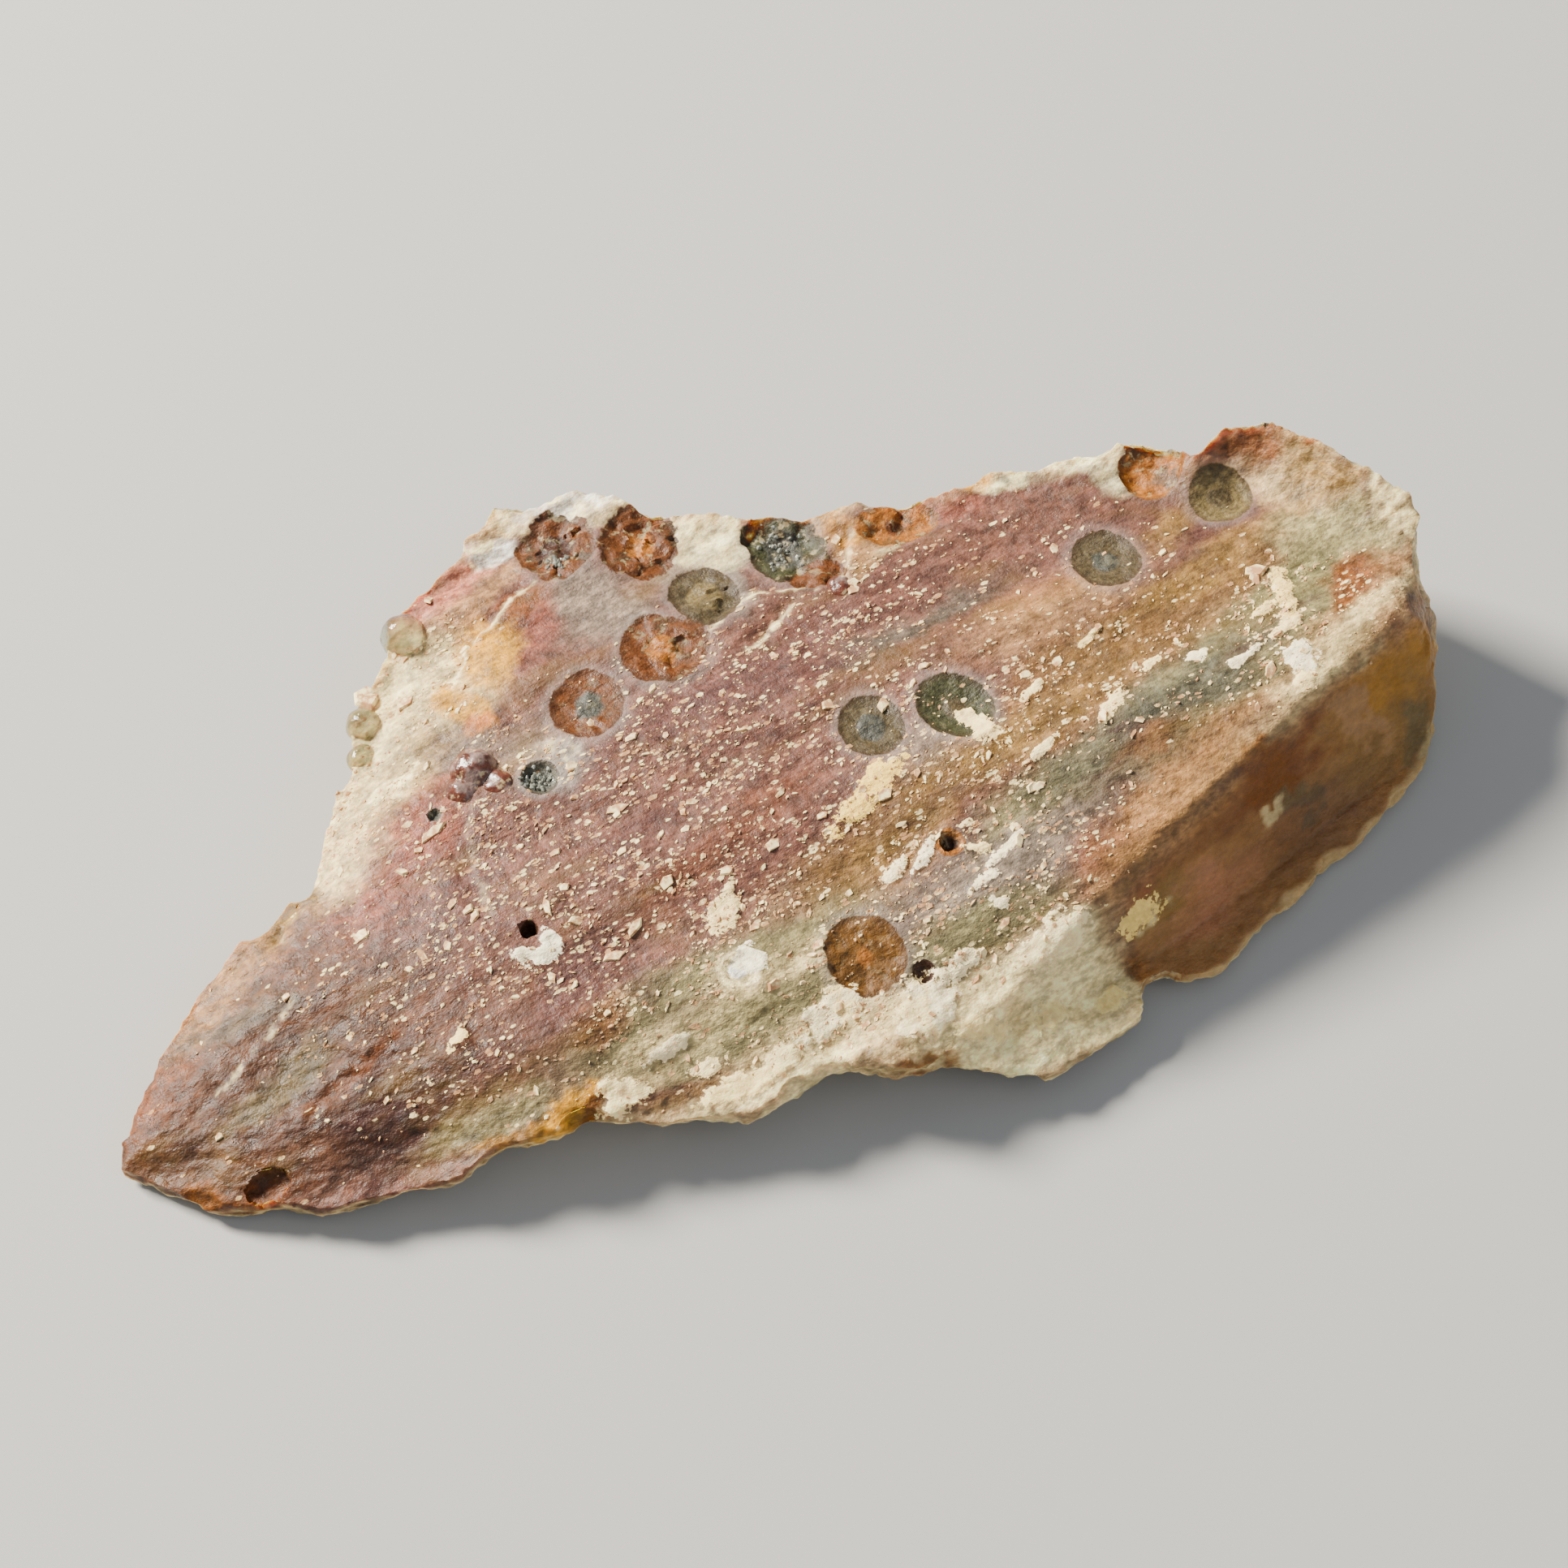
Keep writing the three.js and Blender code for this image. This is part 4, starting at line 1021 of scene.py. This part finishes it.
def paint(stone):
    points, facing = points_of(stone), facings_of(stone)
    tint = tint_at(points, facing)
    store(stone, "tint", tint, "FLOAT_COLOR")
    nearest, eye = np.full(len(points), FAR_FROM_ORBS), np.ones(len(points))
    halo, broken = np.zeros(len(points)), np.zeros(len(points))
    colours = {"orb_outer": np.zeros((len(points), 3)), "orb_inner": np.zeros((len(points), 3))}
    for orb in map(Orb._make, ORBS):
        reach = orb_reach(points, orb)
        here = reach < nearest
        nearest[here] = reach[here]
        colours["orb_outer"][here] = PALETTE[orb.outer]
        colours["orb_inner"][here] = PALETTE[orb.inner]
        eye[here], halo[here], broken[here] = orb.eye, orb.halo, orb.broken
    nearest[facing[:, 2] < 0] = FAR_FROM_ORBS
    for name, values in colours.items():
        store(stone, name, values, "FLOAT_COLOR")
    orb_values = {"orb_reach": nearest, "orb_eye": eye, "orb_halo": halo, "orb_broken": broken}
    for name, values in orb_values.items():
        store(stone, name, values)
    field, tone = crust_field(points)
    store(stone, "crust", np.where(facing[:, 2] > 0.2, field, NO_CRUST))
    store(stone, "crust_tone", tone)
    store(stone, "flecks", fleck_density(points, facing))
    pale = paleness(tint)
    store(stone, "mottled", (1 - 0.7 * steepness_at(points)) * (1 - 0.2 * pale))
    depth = nearest_rim(points[:, 0], points[:, 1])[0]
    store(stone, "glow", np.maximum(0.7 * pale, smooth(2.5, 0.3, depth)))


# ------------------------------------------------------------------ materials

class Nodes:
    """Builds a material's nodes. Sizes are in mm."""

    def __init__(self, name):
        self.material = bpy.data.materials.new(name)
        self.material.use_nodes = True
        self.tree = self.material.node_tree
        self.tree.nodes.clear()
        self.place = self.add("ShaderNodeTexCoord").outputs["Object"]

    def add(self, kind, inputs=None, **settings):
        node = self.tree.nodes.new(kind)
        for key, value in settings.items():
            setattr(node, key, value)
        for key, value in (inputs or {}).items():
            if isinstance(value, bpy.types.NodeSocket):
                self.tree.links.new(value, node.inputs[key])
            else:
                node.inputs[key].default_value = value
        return node

    def attribute(self, name, output="Fac"):
        return self.add("ShaderNodeAttribute", attribute_name=name).outputs[output]

    def stretched(self, length):
        """Coordinates drawn out along the streaks."""
        mapping = {"Vector": self.place, "Rotation": (0, 0, STREAK_TURN), "Scale": (length, 1, 1)}
        return self.add("ShaderNodeMapping", mapping, vector_type="TEXTURE").outputs[0]

    def noise(self, size, detail=3.0, roughness=0.55, place=None, output="Fac"):
        inputs = {"Vector": place or self.place, "Scale": 1 / (size * MM), "Detail": detail,
                  "Roughness": roughness}
        return self.add("ShaderNodeTexNoise", inputs).outputs[output]

    def voronoi(self, size, place):
        return self.add("ShaderNodeTexVoronoi", {"Vector": place, "Scale": 1 / (size * MM)})

    def shaken(self, size, amount, place=None):
        """Coordinates shifted by noise, so that shapes come out ragged."""
        shift = self.vector("SUBTRACT", self.noise(size, 2.0, place=place, output="Color"), (0.5, 0.5, 0.5))
        shift = self.vector("SCALE", shift, scale=amount * MM)
        return self.vector("ADD", place or self.place, shift)

    def vector(self, operation, a, b=None, scale=None):
        inputs = {0: a}
        if b is not None:
            inputs[1] = b
        if scale is not None:
            inputs["Scale"] = scale
        return self.add("ShaderNodeVectorMath", inputs, operation=operation).outputs[0]

    def maths(self, operation, a, b=0.0):
        return self.add("ShaderNodeMath", {0: a, 1: b}, operation=operation).outputs[0]

    def times(self, a, b):
        return self.maths("MULTIPLY", a, b)

    def plus(self, a, b):
        return self.maths("ADD", a, b)

    def ramp(self, value, low, high, start=0.0, end=1.0):
        """The value taken smoothly from one span to another."""
        inputs = {"Value": value, "From Min": low, "From Max": high, "To Min": start, "To Max": end}
        return self.add("ShaderNodeMapRange", inputs, interpolation_type="SMOOTHSTEP").outputs[0]

    def mix(self, below, above, factor, blend="MIX"):
        below, above = (c if isinstance(c, bpy.types.NodeSocket) or len(c) == 4 else (*c, 1.0)
                        for c in (below, above))
        node = self.add("ShaderNodeMix", {0: factor, 6: below, 7: above}, data_type="RGBA", blend_type=blend)
        return node.outputs[2]

    def grey(self, value):
        return self.add("ShaderNodeCombineColor", {0: value, 1: value, 2: value}).outputs[0]

    def varied(self, colour, value, span, shades, factor=1.0):
        """The colour made darker and lighter as the value goes over its span."""
        return self.mix(colour, self.grey(self.ramp(value, *span, *shades)), factor, "MULTIPLY")

    def bump(self, height, depth):
        inputs = {"Height": height, "Strength": 1.0, "Distance": depth * MM}
        return self.add("ShaderNodeBump", inputs).outputs[0]

    def shader(self, inputs):
        principled = self.add("ShaderNodeBsdfPrincipled", inputs)
        self.add("ShaderNodeOutputMaterial", {"Surface": principled.outputs[0]})
        return self.material


def jasper_material(colours):
    n = Nodes("jasper")
    streaks = n.stretched(2.6)
    short = n.stretched(2.0)
    colour = n.attribute("tint", "Color")
    band = n.noise(0.9, 4.0, 0.6, streaks)
    mottled = n.attribute("mottled")
    colour = n.varied(colour, band, (0.3, 0.7), (0.68, 1.32), mottled)
    mottle = n.noise(0.8, 6.0, 0.65)
    colour = n.varied(colour, mottle, (0.25, 0.75), (0.6, 1.4), mottled)
    grit = n.noise(0.22, 2.0, 0.6, short)
    colour = n.varied(colour, grit, (0.3, 0.7), (0.66, 1.3), mottled)
    warm = n.ramp(n.noise(2.6, 3.0, 0.6, streaks), 0.5, 0.72, 0.0, 0.35)
    colour = n.mix(colour, colours.warm_streak, n.times(warm, mottled))
    cool = n.ramp(n.noise(2.1, 3.0, 0.6, n.stretched(3.2)), 0.53, 0.75, 0.0, 0.5)
    colour = n.mix(colour, colours.cool_streak, n.times(cool, mottled))

    colour = orb_layers(n, colour, colours)

    density = n.attribute("flecks")
    fine = fleck_layer(n, short, 0.2, density, 0.6)
    broad = fleck_layer(n, short, 0.4, n.times(density, 0.6), 0.4)
    flecks = n.maths("MAXIMUM", fine, broad)
    fleck = n.mix(colours.dull_fleck, colours.fleck, n.ramp(n.noise(0.7, 3.0, 0.6), 0.42, 0.62))
    colour = n.mix(colour, fleck, n.times(flecks, 0.78))

    crust = n.plus(n.attribute("crust"), n.ramp(n.noise(0.3, 4.0, 0.65), 0.25, 0.75, -0.3, 0.3))
    crust = n.ramp(crust, 1.0, 0.92)
    chalk = n.mix(colours.white_chalk, colours.yellow_chalk, n.attribute("crust_tone"))
    chalk = n.varied(chalk, n.noise(0.4, 4.0, 0.65), (0.3, 0.7), (0.8, 1.15))
    colour = n.mix(colour, chalk, crust)

    grain = n.noise(0.16, 3.0, 0.6)
    coarse = n.noise(0.5, 4.0, 0.6, short)
    height = n.plus(n.times(grain, 0.4), coarse)
    height = n.plus(height, n.times(flecks, 0.35))
    rough = n.ramp(n.noise(0.7, 3.0), 0.3, 0.7, 0.38, 0.62)
    rough = n.plus(rough, n.times(n.maths("MAXIMUM", crust, flecks), 0.3))
    return n.shader({
        "Base Color": colour, "Roughness": rough, "Normal": n.bump(height, 0.13),
        "Subsurface Weight": n.ramp(n.attribute("glow"), 0.0, 1.0, 0.1, 0.5),
        "Subsurface Radius": (1.0, 0.5, 0.22), "Subsurface Scale": 0.001,
        "IOR": 1.54, "Specular IOR Level": 0.25,
    })


def fleck_layer(n, place, size, density, reach):
    """Ragged specks, one in each cell that the density lets through."""
    voronoi = n.voronoi(size, n.shaken(size * 0.5, size * 0.45, place))
    chance = n.add("ShaderNodeSeparateColor", {0: voronoi.outputs["Color"]})
    shown = n.maths("LESS_THAN", chance.outputs[0], n.times(density, 0.62))
    edge = n.times(chance.outputs[1], reach)
    inside = n.ramp(n.maths("SUBTRACT", edge, voronoi.outputs["Distance"]), -0.03, 0.05)
    return n.times(inside, shown)


def orb_layers(n, colour, colours):
    """Halo, dark edge, body with fine rings and rays, and the eye of every orb."""
    r, eye, broken = n.attribute("orb_reach"), n.attribute("orb_eye"), n.attribute("orb_broken")
    ragged = n.times(n.ramp(n.noise(0.5, 3.0), 0.2, 0.8, -0.05, 0.05), n.plus(broken, 0.4))
    r = n.plus(r, ragged)
    halo = n.times(n.ramp(r, 1.45, 1.0), n.attribute("orb_halo"))
    colour = n.mix(colour, colours.halo, n.times(halo, 0.5))
    rings = n.maths("SINE", n.times(r, 42.0))
    rays = n.noise(0.28, 4.0, 0.7)
    outer = n.attribute("orb_outer", "Color")
    inner = n.attribute("orb_inner", "Color")
    eye_share = n.ramp(n.maths("SUBTRACT", r, eye), -0.08, 0.08, 1.0, 0.0)
    body = n.mix(outer, inner, eye_share)
    body = n.varied(body, rings, (-1.0, 1.0), (0.92, 1.06))
    body = n.varied(body, rays, (0.25, 0.75), (0.5, 1.5))
    dark = n.times(n.ramp(n.noise(1.1, 3.0, 0.6), 0.5, 0.62), n.ramp(broken, 0.3, 1.0, 0.0, 0.75))
    body = n.mix(body, colours.orb_dark, dark)
    pale_break = n.times(n.ramp(n.noise(0.55, 3.0, 0.6), 0.56, 0.64), n.ramp(broken, 0.6, 1.0, 0.04, 0.2))
    body = n.mix(body, colours.fleck, pale_break)
    edge = n.times(n.ramp(r, 0.78, 0.96), n.ramp(r, 1.06, 0.98))
    body = n.mix(body, colours.orb_edge, n.times(edge, 0.45))
    return n.mix(colour, body, n.ramp(r, 1.04, 0.98))


def plain_material(name, colour, roughness, **more):
    n = Nodes(name)
    mottled = n.varied(colour, n.noise(0.5, 4.0), (0.25, 0.75), (0.75, 1.2))
    inputs = {"Base Color": mottled, "Roughness": roughness,
              "Normal": n.bump(n.noise(0.2, 3.0), 0.03), "IOR": 1.54}
    inputs.update(more)
    return n.shader(inputs)


def nodule_material(colours):
    """Grape-like lumps: dark red-brown with pale and mauve-grey patches and a thin gloss."""
    n = Nodes("rusty nodule")
    colour = n.mix(colours.rust, colours.lump_grey, n.ramp(n.noise(1.1, 3.0), 0.48, 0.6))
    colour = n.mix(colour, colours.fleck, n.times(n.ramp(n.noise(0.6, 3.0, 0.6), 0.58, 0.66), 0.3))
    colour = n.varied(colour, n.noise(0.3, 4.0), (0.25, 0.75), (0.65, 1.3))
    return n.shader({"Base Color": colour, "Roughness": 0.3, "Normal": n.bump(n.noise(0.25, 3.0), 0.06),
                     "IOR": 1.54, "Coat Weight": 0.25})


# ------------------------------------------------------------------ settings

def length(label, about, default):
    return bpy.props.FloatProperty(name=label, description=about, default=default, min=0, unit="LENGTH",
                                   precision=5)


def tone(label, about, default):
    return bpy.props.FloatVectorProperty(name=label, description=about, subtype="COLOR", size=4, min=0,
                                         max=1, default=(*default, 1.0))


def power(label, about, default):
    return bpy.props.FloatProperty(name=label, description=about, default=default, min=0, unit="POWER")


class ShapeSettings(bpy.types.PropertyGroup):
    spacing: length("Point spacing", "Distance between the points of the stone's surface", 0.000173)
    flake_count: bpy.props.IntProperty(
        name="Flakes", description="How many chalky flakes are tried on the surface", default=27000, min=0)
    crystal_count: bpy.props.IntProperty(
        name="Crystals", description="The most small crystals that are set in the hollows",
        default=sum(row[4] for row in CRYSTAL_HOLLOWS), min=0)
    underside_keep: bpy.props.FloatProperty(
        name="Underside detail", description="Share of the underside's faces that is kept", default=0.2,
        min=0.02, max=1, subtype="FACTOR")


class ColourSettings(bpy.types.PropertyGroup):
    ground: tone("Ground", "Main colour of the jasper", PALETTE["mauve"])
    warm_streak: tone("Warm streaks", "Colour of the warm streaks", PALETTE["ochre"])
    cool_streak: tone("Cool streaks", "Colour of the cool streaks", PALETTE["plum"])
    fleck: tone("Flecks", "Colour of the fine flecks", srgb(254, 232, 170))
    dull_fleck: tone("Dull flecks", "Colour of the dullest flecks", srgb(190, 138, 92))
    white_chalk: tone("White chalk", "Colour of the whitest crusts", srgb(255, 242, 204))
    yellow_chalk: tone("Yellow chalk", "Colour of the yellowest crusts", srgb(252, 210, 106))
    halo: tone("Halo", "Colour of the pale halo round the orbs", srgb(166, 154, 146))
    orb_dark: tone("Orb patches", "Colour of the dark patches in the broken orbs", srgb(58, 48, 30))
    orb_edge: tone("Orb edge", "Colour of the dark edge of the orbs", srgb(56, 36, 22))
    clear: tone("Clear nodules", "Colour of the glassy nodules", srgb(214, 220, 206))
    rust: tone("Rusty nodules", "Colour of the red-brown lump and nodules", srgb(84, 38, 20))
    lump_grey: tone("Lump patches", "Colour of the mauve-grey patches on the lump", srgb(128, 104, 96))
    crystal: tone("Crystals", "Colour of the small crystals", srgb(176, 178, 164))


class StageSettings(bpy.types.PropertyGroup):
    floor: tone("Floor", "Colour of the floor", srgb(170, 169, 167))
    key_power: power("Key light", "Strength of the main light", 18.5)
    key_size: length("Key size", "Width of the main light", 0.16)
    fill_power: power("Fill light", "Strength of the fill light", 1.1)
    sky: bpy.props.FloatProperty(
        name="Surroundings", description="Strength of the light from all round", default=0.4, min=0)


# ------------------------------------------------------------------ pieces

def ball_piece(centre, radius, rings=24):
    bpy.ops.mesh.primitive_uv_sphere_add(segments=rings * 2, ring_count=rings, radius=radius, location=centre)
    ball = bpy.context.object
    bpy.ops.object.transform_apply(location=True, rotation=True, scale=True)
    return ball


def join(objects):
    fresh()
    for obj in objects:
        obj.select_set(True)
    bpy.context.view_layer.objects.active = objects[0]
    if len(objects) > 1:
        bpy.ops.object.join()
    return bpy.context.object


def sown(name, shape_points, shape_faces, turns, places):
    """One mesh of many copies of a closed shape, each turned, scaled and placed."""
    count, size = len(places), len(shape_points)
    points = np.einsum("nij,pj->npi", turns, shape_points) + places[:, None, :]
    faces = [[i * size + k for k in face] for i in range(count) for face in shape_faces]
    mesh = bpy.data.meshes.new(name)
    mesh.from_pydata(points.reshape(-1, 3), [], faces)
    obj = bpy.data.objects.new(name, mesh)
    bpy.context.collection.objects.link(obj)
    return obj


def surface_of(stone):
    """The stone's surface, for things to be set on; in mm."""
    points = points_of(stone) / MM
    faces = [tuple(p.vertices) for p in stone.data.polygons]
    return BVHTree.FromPolygons([Vector(p) for p in points], faces)


def frames_on(facings, turn, rng, tilt):
    """Turns that stand on a surface, with their long side at an angle to +X."""
    up = unit(facings + rng.normal(scale=tilt, size=facings.shape))
    along = np.column_stack([np.cos(turn), np.sin(turn), np.zeros(len(turn))])
    along = unit(along - up * (along * up).sum(1, keepdims=True))
    return np.stack([along, np.cross(up, along), up], axis=2)


def drop_onto(surface, x, y):
    """Where points dropped from above land, and which way the surface faces there."""
    spots, facings = [], []
    for px, py in zip(x, y):
        spot, facing, _, _ = surface.ray_cast(Vector((px, py, DROP_HEIGHT)), Vector((0, 0, -1)))
        if spot is not None:
            spots.append(spot)
            facings.append(facing)
    return np.array(spots), np.array(facings)


def prism(degrees, low, high, taper):
    """Corners round a circle 1 wide, at two heights, with the base and the sides between them."""
    angles, count = np.radians(degrees), len(degrees)
    wide = np.column_stack([np.cos(angles), np.sin(angles)]) * 0.5
    bottom = np.column_stack([wide, np.full(count, low)])
    top = np.column_stack([wide * taper, np.full(count, high)])
    sides = [(i, (i + 1) % count, count + (i + 1) % count, count + i) for i in range(count)]
    return np.concatenate([bottom, top]), tuple(reversed(range(count))), sides


def plate_shape():
    """An irregular five-sided plate, 1 long and 1 wide, thin at the edge."""
    points, base, sides = prism((8, 70, 128, 205, 290), -0.5, 0.5, 0.8)
    return points, [base, tuple(range(5, 10)), *sides]


def crystal_shape():
    """A six-sided crystal with a point, 1 wide and 1 high."""
    points, base, sides = prism((0, 60, 120, 180, 240, 300), -0.4, 0.15, 0.9)
    tips = [(6 + i, 6 + (i + 1) % 6, 12) for i in range(6)]
    return np.concatenate([points, [(0.05, 0, 0.6)]]), [base, *sides, *tips]


class StoneOperator(bpy.types.Operator):
    """Make the broken stone with its faces, orb sockets, chips, crusts and colours"""
    bl_idname = "jasper.stone"
    bl_label = "Stone"

    def execute(self, context):
        shape, colours = context.scene.jasper_shape, context.scene.jasper_colours
        PALETTE["mauve"] = tuple(colours.ground)[:3]
        stone = rough_blank(shape.spacing / MM * (1))
        points, facing = points_of(stone), facings_of(stone)
        carve_orbs(points, facing)
        carve_pits(points, facing)
        carve_steps(points, facing)
        carve_chips(points, np.random.default_rng(CHIP_SEED))
        move_points(stone, points)
        points = weather(points, facings_of(stone))
        raise_crusts(points, facing)
        keep_in_box(points)
        move_points(stone, points)
        thin_underside(stone, shape.underside_keep)
        hold_in_box(stone)
        paint(stone)
        shade(stone, 50)
        finish_piece(stone, "stone", jasper_material(colours))
        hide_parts(NODE)
        return {"FINISHED"}


class NodulesOperator(bpy.types.Operator):
    """Make the clear nodules, the grape-like lump and the rusty nodules"""
    bl_idname = "jasper.nodules"
    bl_label = "Nodules"

    def execute(self, context):
        colours = context.scene.jasper_colours
        clear = plain_material("clear nodule", colours.clear, 0.03, **{"Transmission Weight": 1.0})
        rusty = nodule_material(colours)
        groups = (("clear_nodules", CLEAR_NODULES, clear, 0.1), ("rusty_lump", LUMP_LOBES, rusty, 0.16),
                  ("rusty_nodules", RUSTY_NODULES, rusty, 0.16))
        for name, balls, material, rough in groups:
            fresh()
            piece = join([ball_piece(ball[:3], ball[3]) for ball in balls])
            points = points_of(piece)
            relief = rough * noise(points, NODULE_GRAIN, 61) * NODULE_RELIEF
            points += facings_of(piece) * relief[:, None]
            keep_in_box(points)
            move_points(piece, points)
            if name == "rusty_lump":
                remesh(piece, LUMP_SPACING)
            shade(piece)
            finish_piece(piece, name, material)
        return {"FINISHED"}


class FlakesOperator(bpy.types.Operator):
    """Scatter the thin chalky flakes over the broken face"""
    bl_idname = "jasper.flakes"
    bl_label = "Chalky flakes"

    def execute(self, context):
        shape, colours = context.scene.jasper_shape, context.scene.jasper_colours
        stone = bpy.data.objects["stone"]
        rng = np.random.default_rng(FLAKE_SEED)
        x, y = (rng.uniform(*span, shape.flake_count) for span in FLAKE_FIELD)
        spots, facings = drop_onto(surface_of(stone), x, y)
        kept = rng.random(len(spots)) < FLAKE_SHARE * fleck_density(spots, facings)
        kept &= spots[:, 2] < FLAKE_CEILING
        spots, facings = spots[kept], facings[kept]
        count = len(spots)
        turns = FLAKE_TURN + rng.normal(scale=FLAKE_TURN_SPREAD, size=count)
        turns = frames_on(facings, turns, rng, FLAKE_TILT)
        longs = rng.lognormal(math.log(FLAKE_LENGTH), FLAKE_SPREAD, count)
        longs = np.clip(longs, *FLAKE_LENGTH_LIMITS)
        longs *= np.where(rng.random(count) < LONG_FLAKE_SHARE, LONG_FLAKE_STRETCH, 1)
        widths = longs * rng.uniform(*FLAKE_SLIMNESS, count)
        sizes = np.column_stack([longs, widths, FLAKE_THICKNESS + FLAKE_THICKENING * longs])
        flakes = sown("flakes", *plate_shape(), turns * sizes[:, None, :], spots)
        points = points_of(flakes)
        points += rng.normal(scale=FLAKE_SHAKE, size=points.shape)
        keep_in_box(points)
        move_points(flakes, points)
        n = Nodes("chalk")
        tones = n.ramp(n.noise(0.45, 3.0, 0.6), 0.4, 0.62)
        chalk = n.mix(colours.dull_fleck, colours.fleck, tones)
        finish_piece(flakes, "flakes", n.shader({"Base Color": chalk, "Roughness": 0.7}))
        return {"FINISHED"}


class DruseOperator(bpy.types.Operator):
    """Line the open hollows with small crystals"""
    bl_idname = "jasper.druse"
    bl_label = "Crystals"

    def execute(self, context):
        shape, colours = context.scene.jasper_shape, context.scene.jasper_colours
        stone = bpy.data.objects["stone"]
        rng = np.random.default_rng(CRYSTAL_SEED)
        x = np.concatenate([cx + rng.normal(scale=sx * 0.5, size=n) for cx, _, sx, _, n in CRYSTAL_HOLLOWS])
        y = np.concatenate([cy + rng.normal(scale=sy * 0.5, size=n) for _, cy, _, sy, n in CRYSTAL_HOLLOWS])
        spots, facings = drop_onto(surface_of(stone), x, y)
        count = min(len(spots), shape.crystal_count)
        spots, facings = spots[:count], facings[:count]
        turns = frames_on(facings, rng.uniform(0, math.tau, count), rng, CRYSTAL_TILT)
        widths = rng.uniform(*CRYSTAL_WIDTH, count)
        sizes = np.column_stack([widths, widths, widths * rng.uniform(*CRYSTAL_SLIMNESS, count)])
        crystals = sown("crystals", *crystal_shape(), turns * sizes[:, None, :], spots)
        hold_in_box(crystals)
        glass = plain_material("crystal", colours.crystal, 0.12, **{"Transmission Weight": 0.45})
        finish_piece(crystals, "crystals", glass)
        return {"FINISHED"}


class StageOperator(bpy.types.Operator):
    """Make the floor, the lights and the camera"""
    bl_idname = "jasper.stage"
    bl_label = "Stage"

    def execute(self, context):
        settings = context.scene.jasper_stage
        fresh()
        bpy.ops.mesh.primitive_plane_add(size=FLOOR_SIZE)
        floor = bpy.context.object
        floor.name = "floor"
        n = Nodes("floor")
        floor.data.materials.append(n.shader({"Base Color": tuple(settings.floor), "Roughness": 0.8}))
        key = area_light("key", KEY_PLACE, settings.key_power, settings.key_size, KEY_COLOUR)
        fill = area_light("fill", FILL_PLACE, settings.fill_power, FILL_SIZE, FILL_COLOUR)
        world = bpy.data.worlds.new("surroundings")
        world.use_nodes = True
        background = world.node_tree.nodes["Background"]
        background.inputs["Color"].default_value = SKY_COLOUR
        background.inputs["Strength"].default_value = settings.sky
        context.scene.world = world
        bpy.ops.object.camera_add()
        camera = bpy.context.object
        camera.name = "camera"
        right = Vector(CAMERA_RIGHT)
        forward = Vector(CAMERA_FORWARD).normalized()
        up = right.cross(forward).normalized()
        turn = Matrix((right, up, -forward)).transposed().to_4x4()
        turn.translation = Vector(CAMERA_PLACE) * MM
        camera.matrix_world = turn
        camera.data.lens = CAMERA_LENS
        camera.data.clip_start = CAMERA_CLIP_START
        context.scene.camera = camera
        return {"FINISHED"}


def area_light(name, place, power, size, colour):
    bpy.ops.object.light_add(type="AREA", location=place)
    light = bpy.context.object
    light.name = name
    light.rotation_euler = (-Vector(place)).to_track_quat("-Z", "Y").to_euler()
    light.data.energy = power
    light.data.size = size
    light.data.color = colour
    return light


class JasperPanel(bpy.types.Panel):
    """Sizes and colours of the jasper, and the buttons that make it"""
    bl_idname = "VIEW3D_PT_jasper"
    bl_label = "Rough Ocean Jasper"
    bl_space_type = "VIEW_3D"
    bl_region_type = "UI"
    bl_category = "Jasper"

    def draw(self, context):
        for name in SETTINGS:
            group = getattr(context.scene, name)
            box = self.layout.box()
            for key in group.__annotations__:
                box.prop(group, key)
        for operator in OPERATORS:
            self.layout.operator(operator.bl_idname)


SETTINGS = {"jasper_shape": ShapeSettings, "jasper_colours": ColourSettings, "jasper_stage": StageSettings}
OPERATORS = (StoneOperator, NodulesOperator, FlakesOperator, DruseOperator, StageOperator)


def register():
    for cls in (*SETTINGS.values(), *OPERATORS, JasperPanel):
        bpy.utils.register_class(cls)
    for name, cls in SETTINGS.items():
        setattr(bpy.types.Scene, name, bpy.props.PointerProperty(type=cls))


def unregister():
    for name in SETTINGS:
        delattr(bpy.types.Scene, name)
    for cls in reversed((*SETTINGS.values(), *OPERATORS, JasperPanel)):
        bpy.utils.unregister_class(cls)


def main():
    register()
    bpy.ops.jasper.stone()
    bpy.ops.jasper.nodules()
    bpy.ops.jasper.flakes()
    bpy.ops.jasper.druse()
    bpy.ops.jasper.stage()
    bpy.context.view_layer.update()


if __name__ == "__main__":
    main()
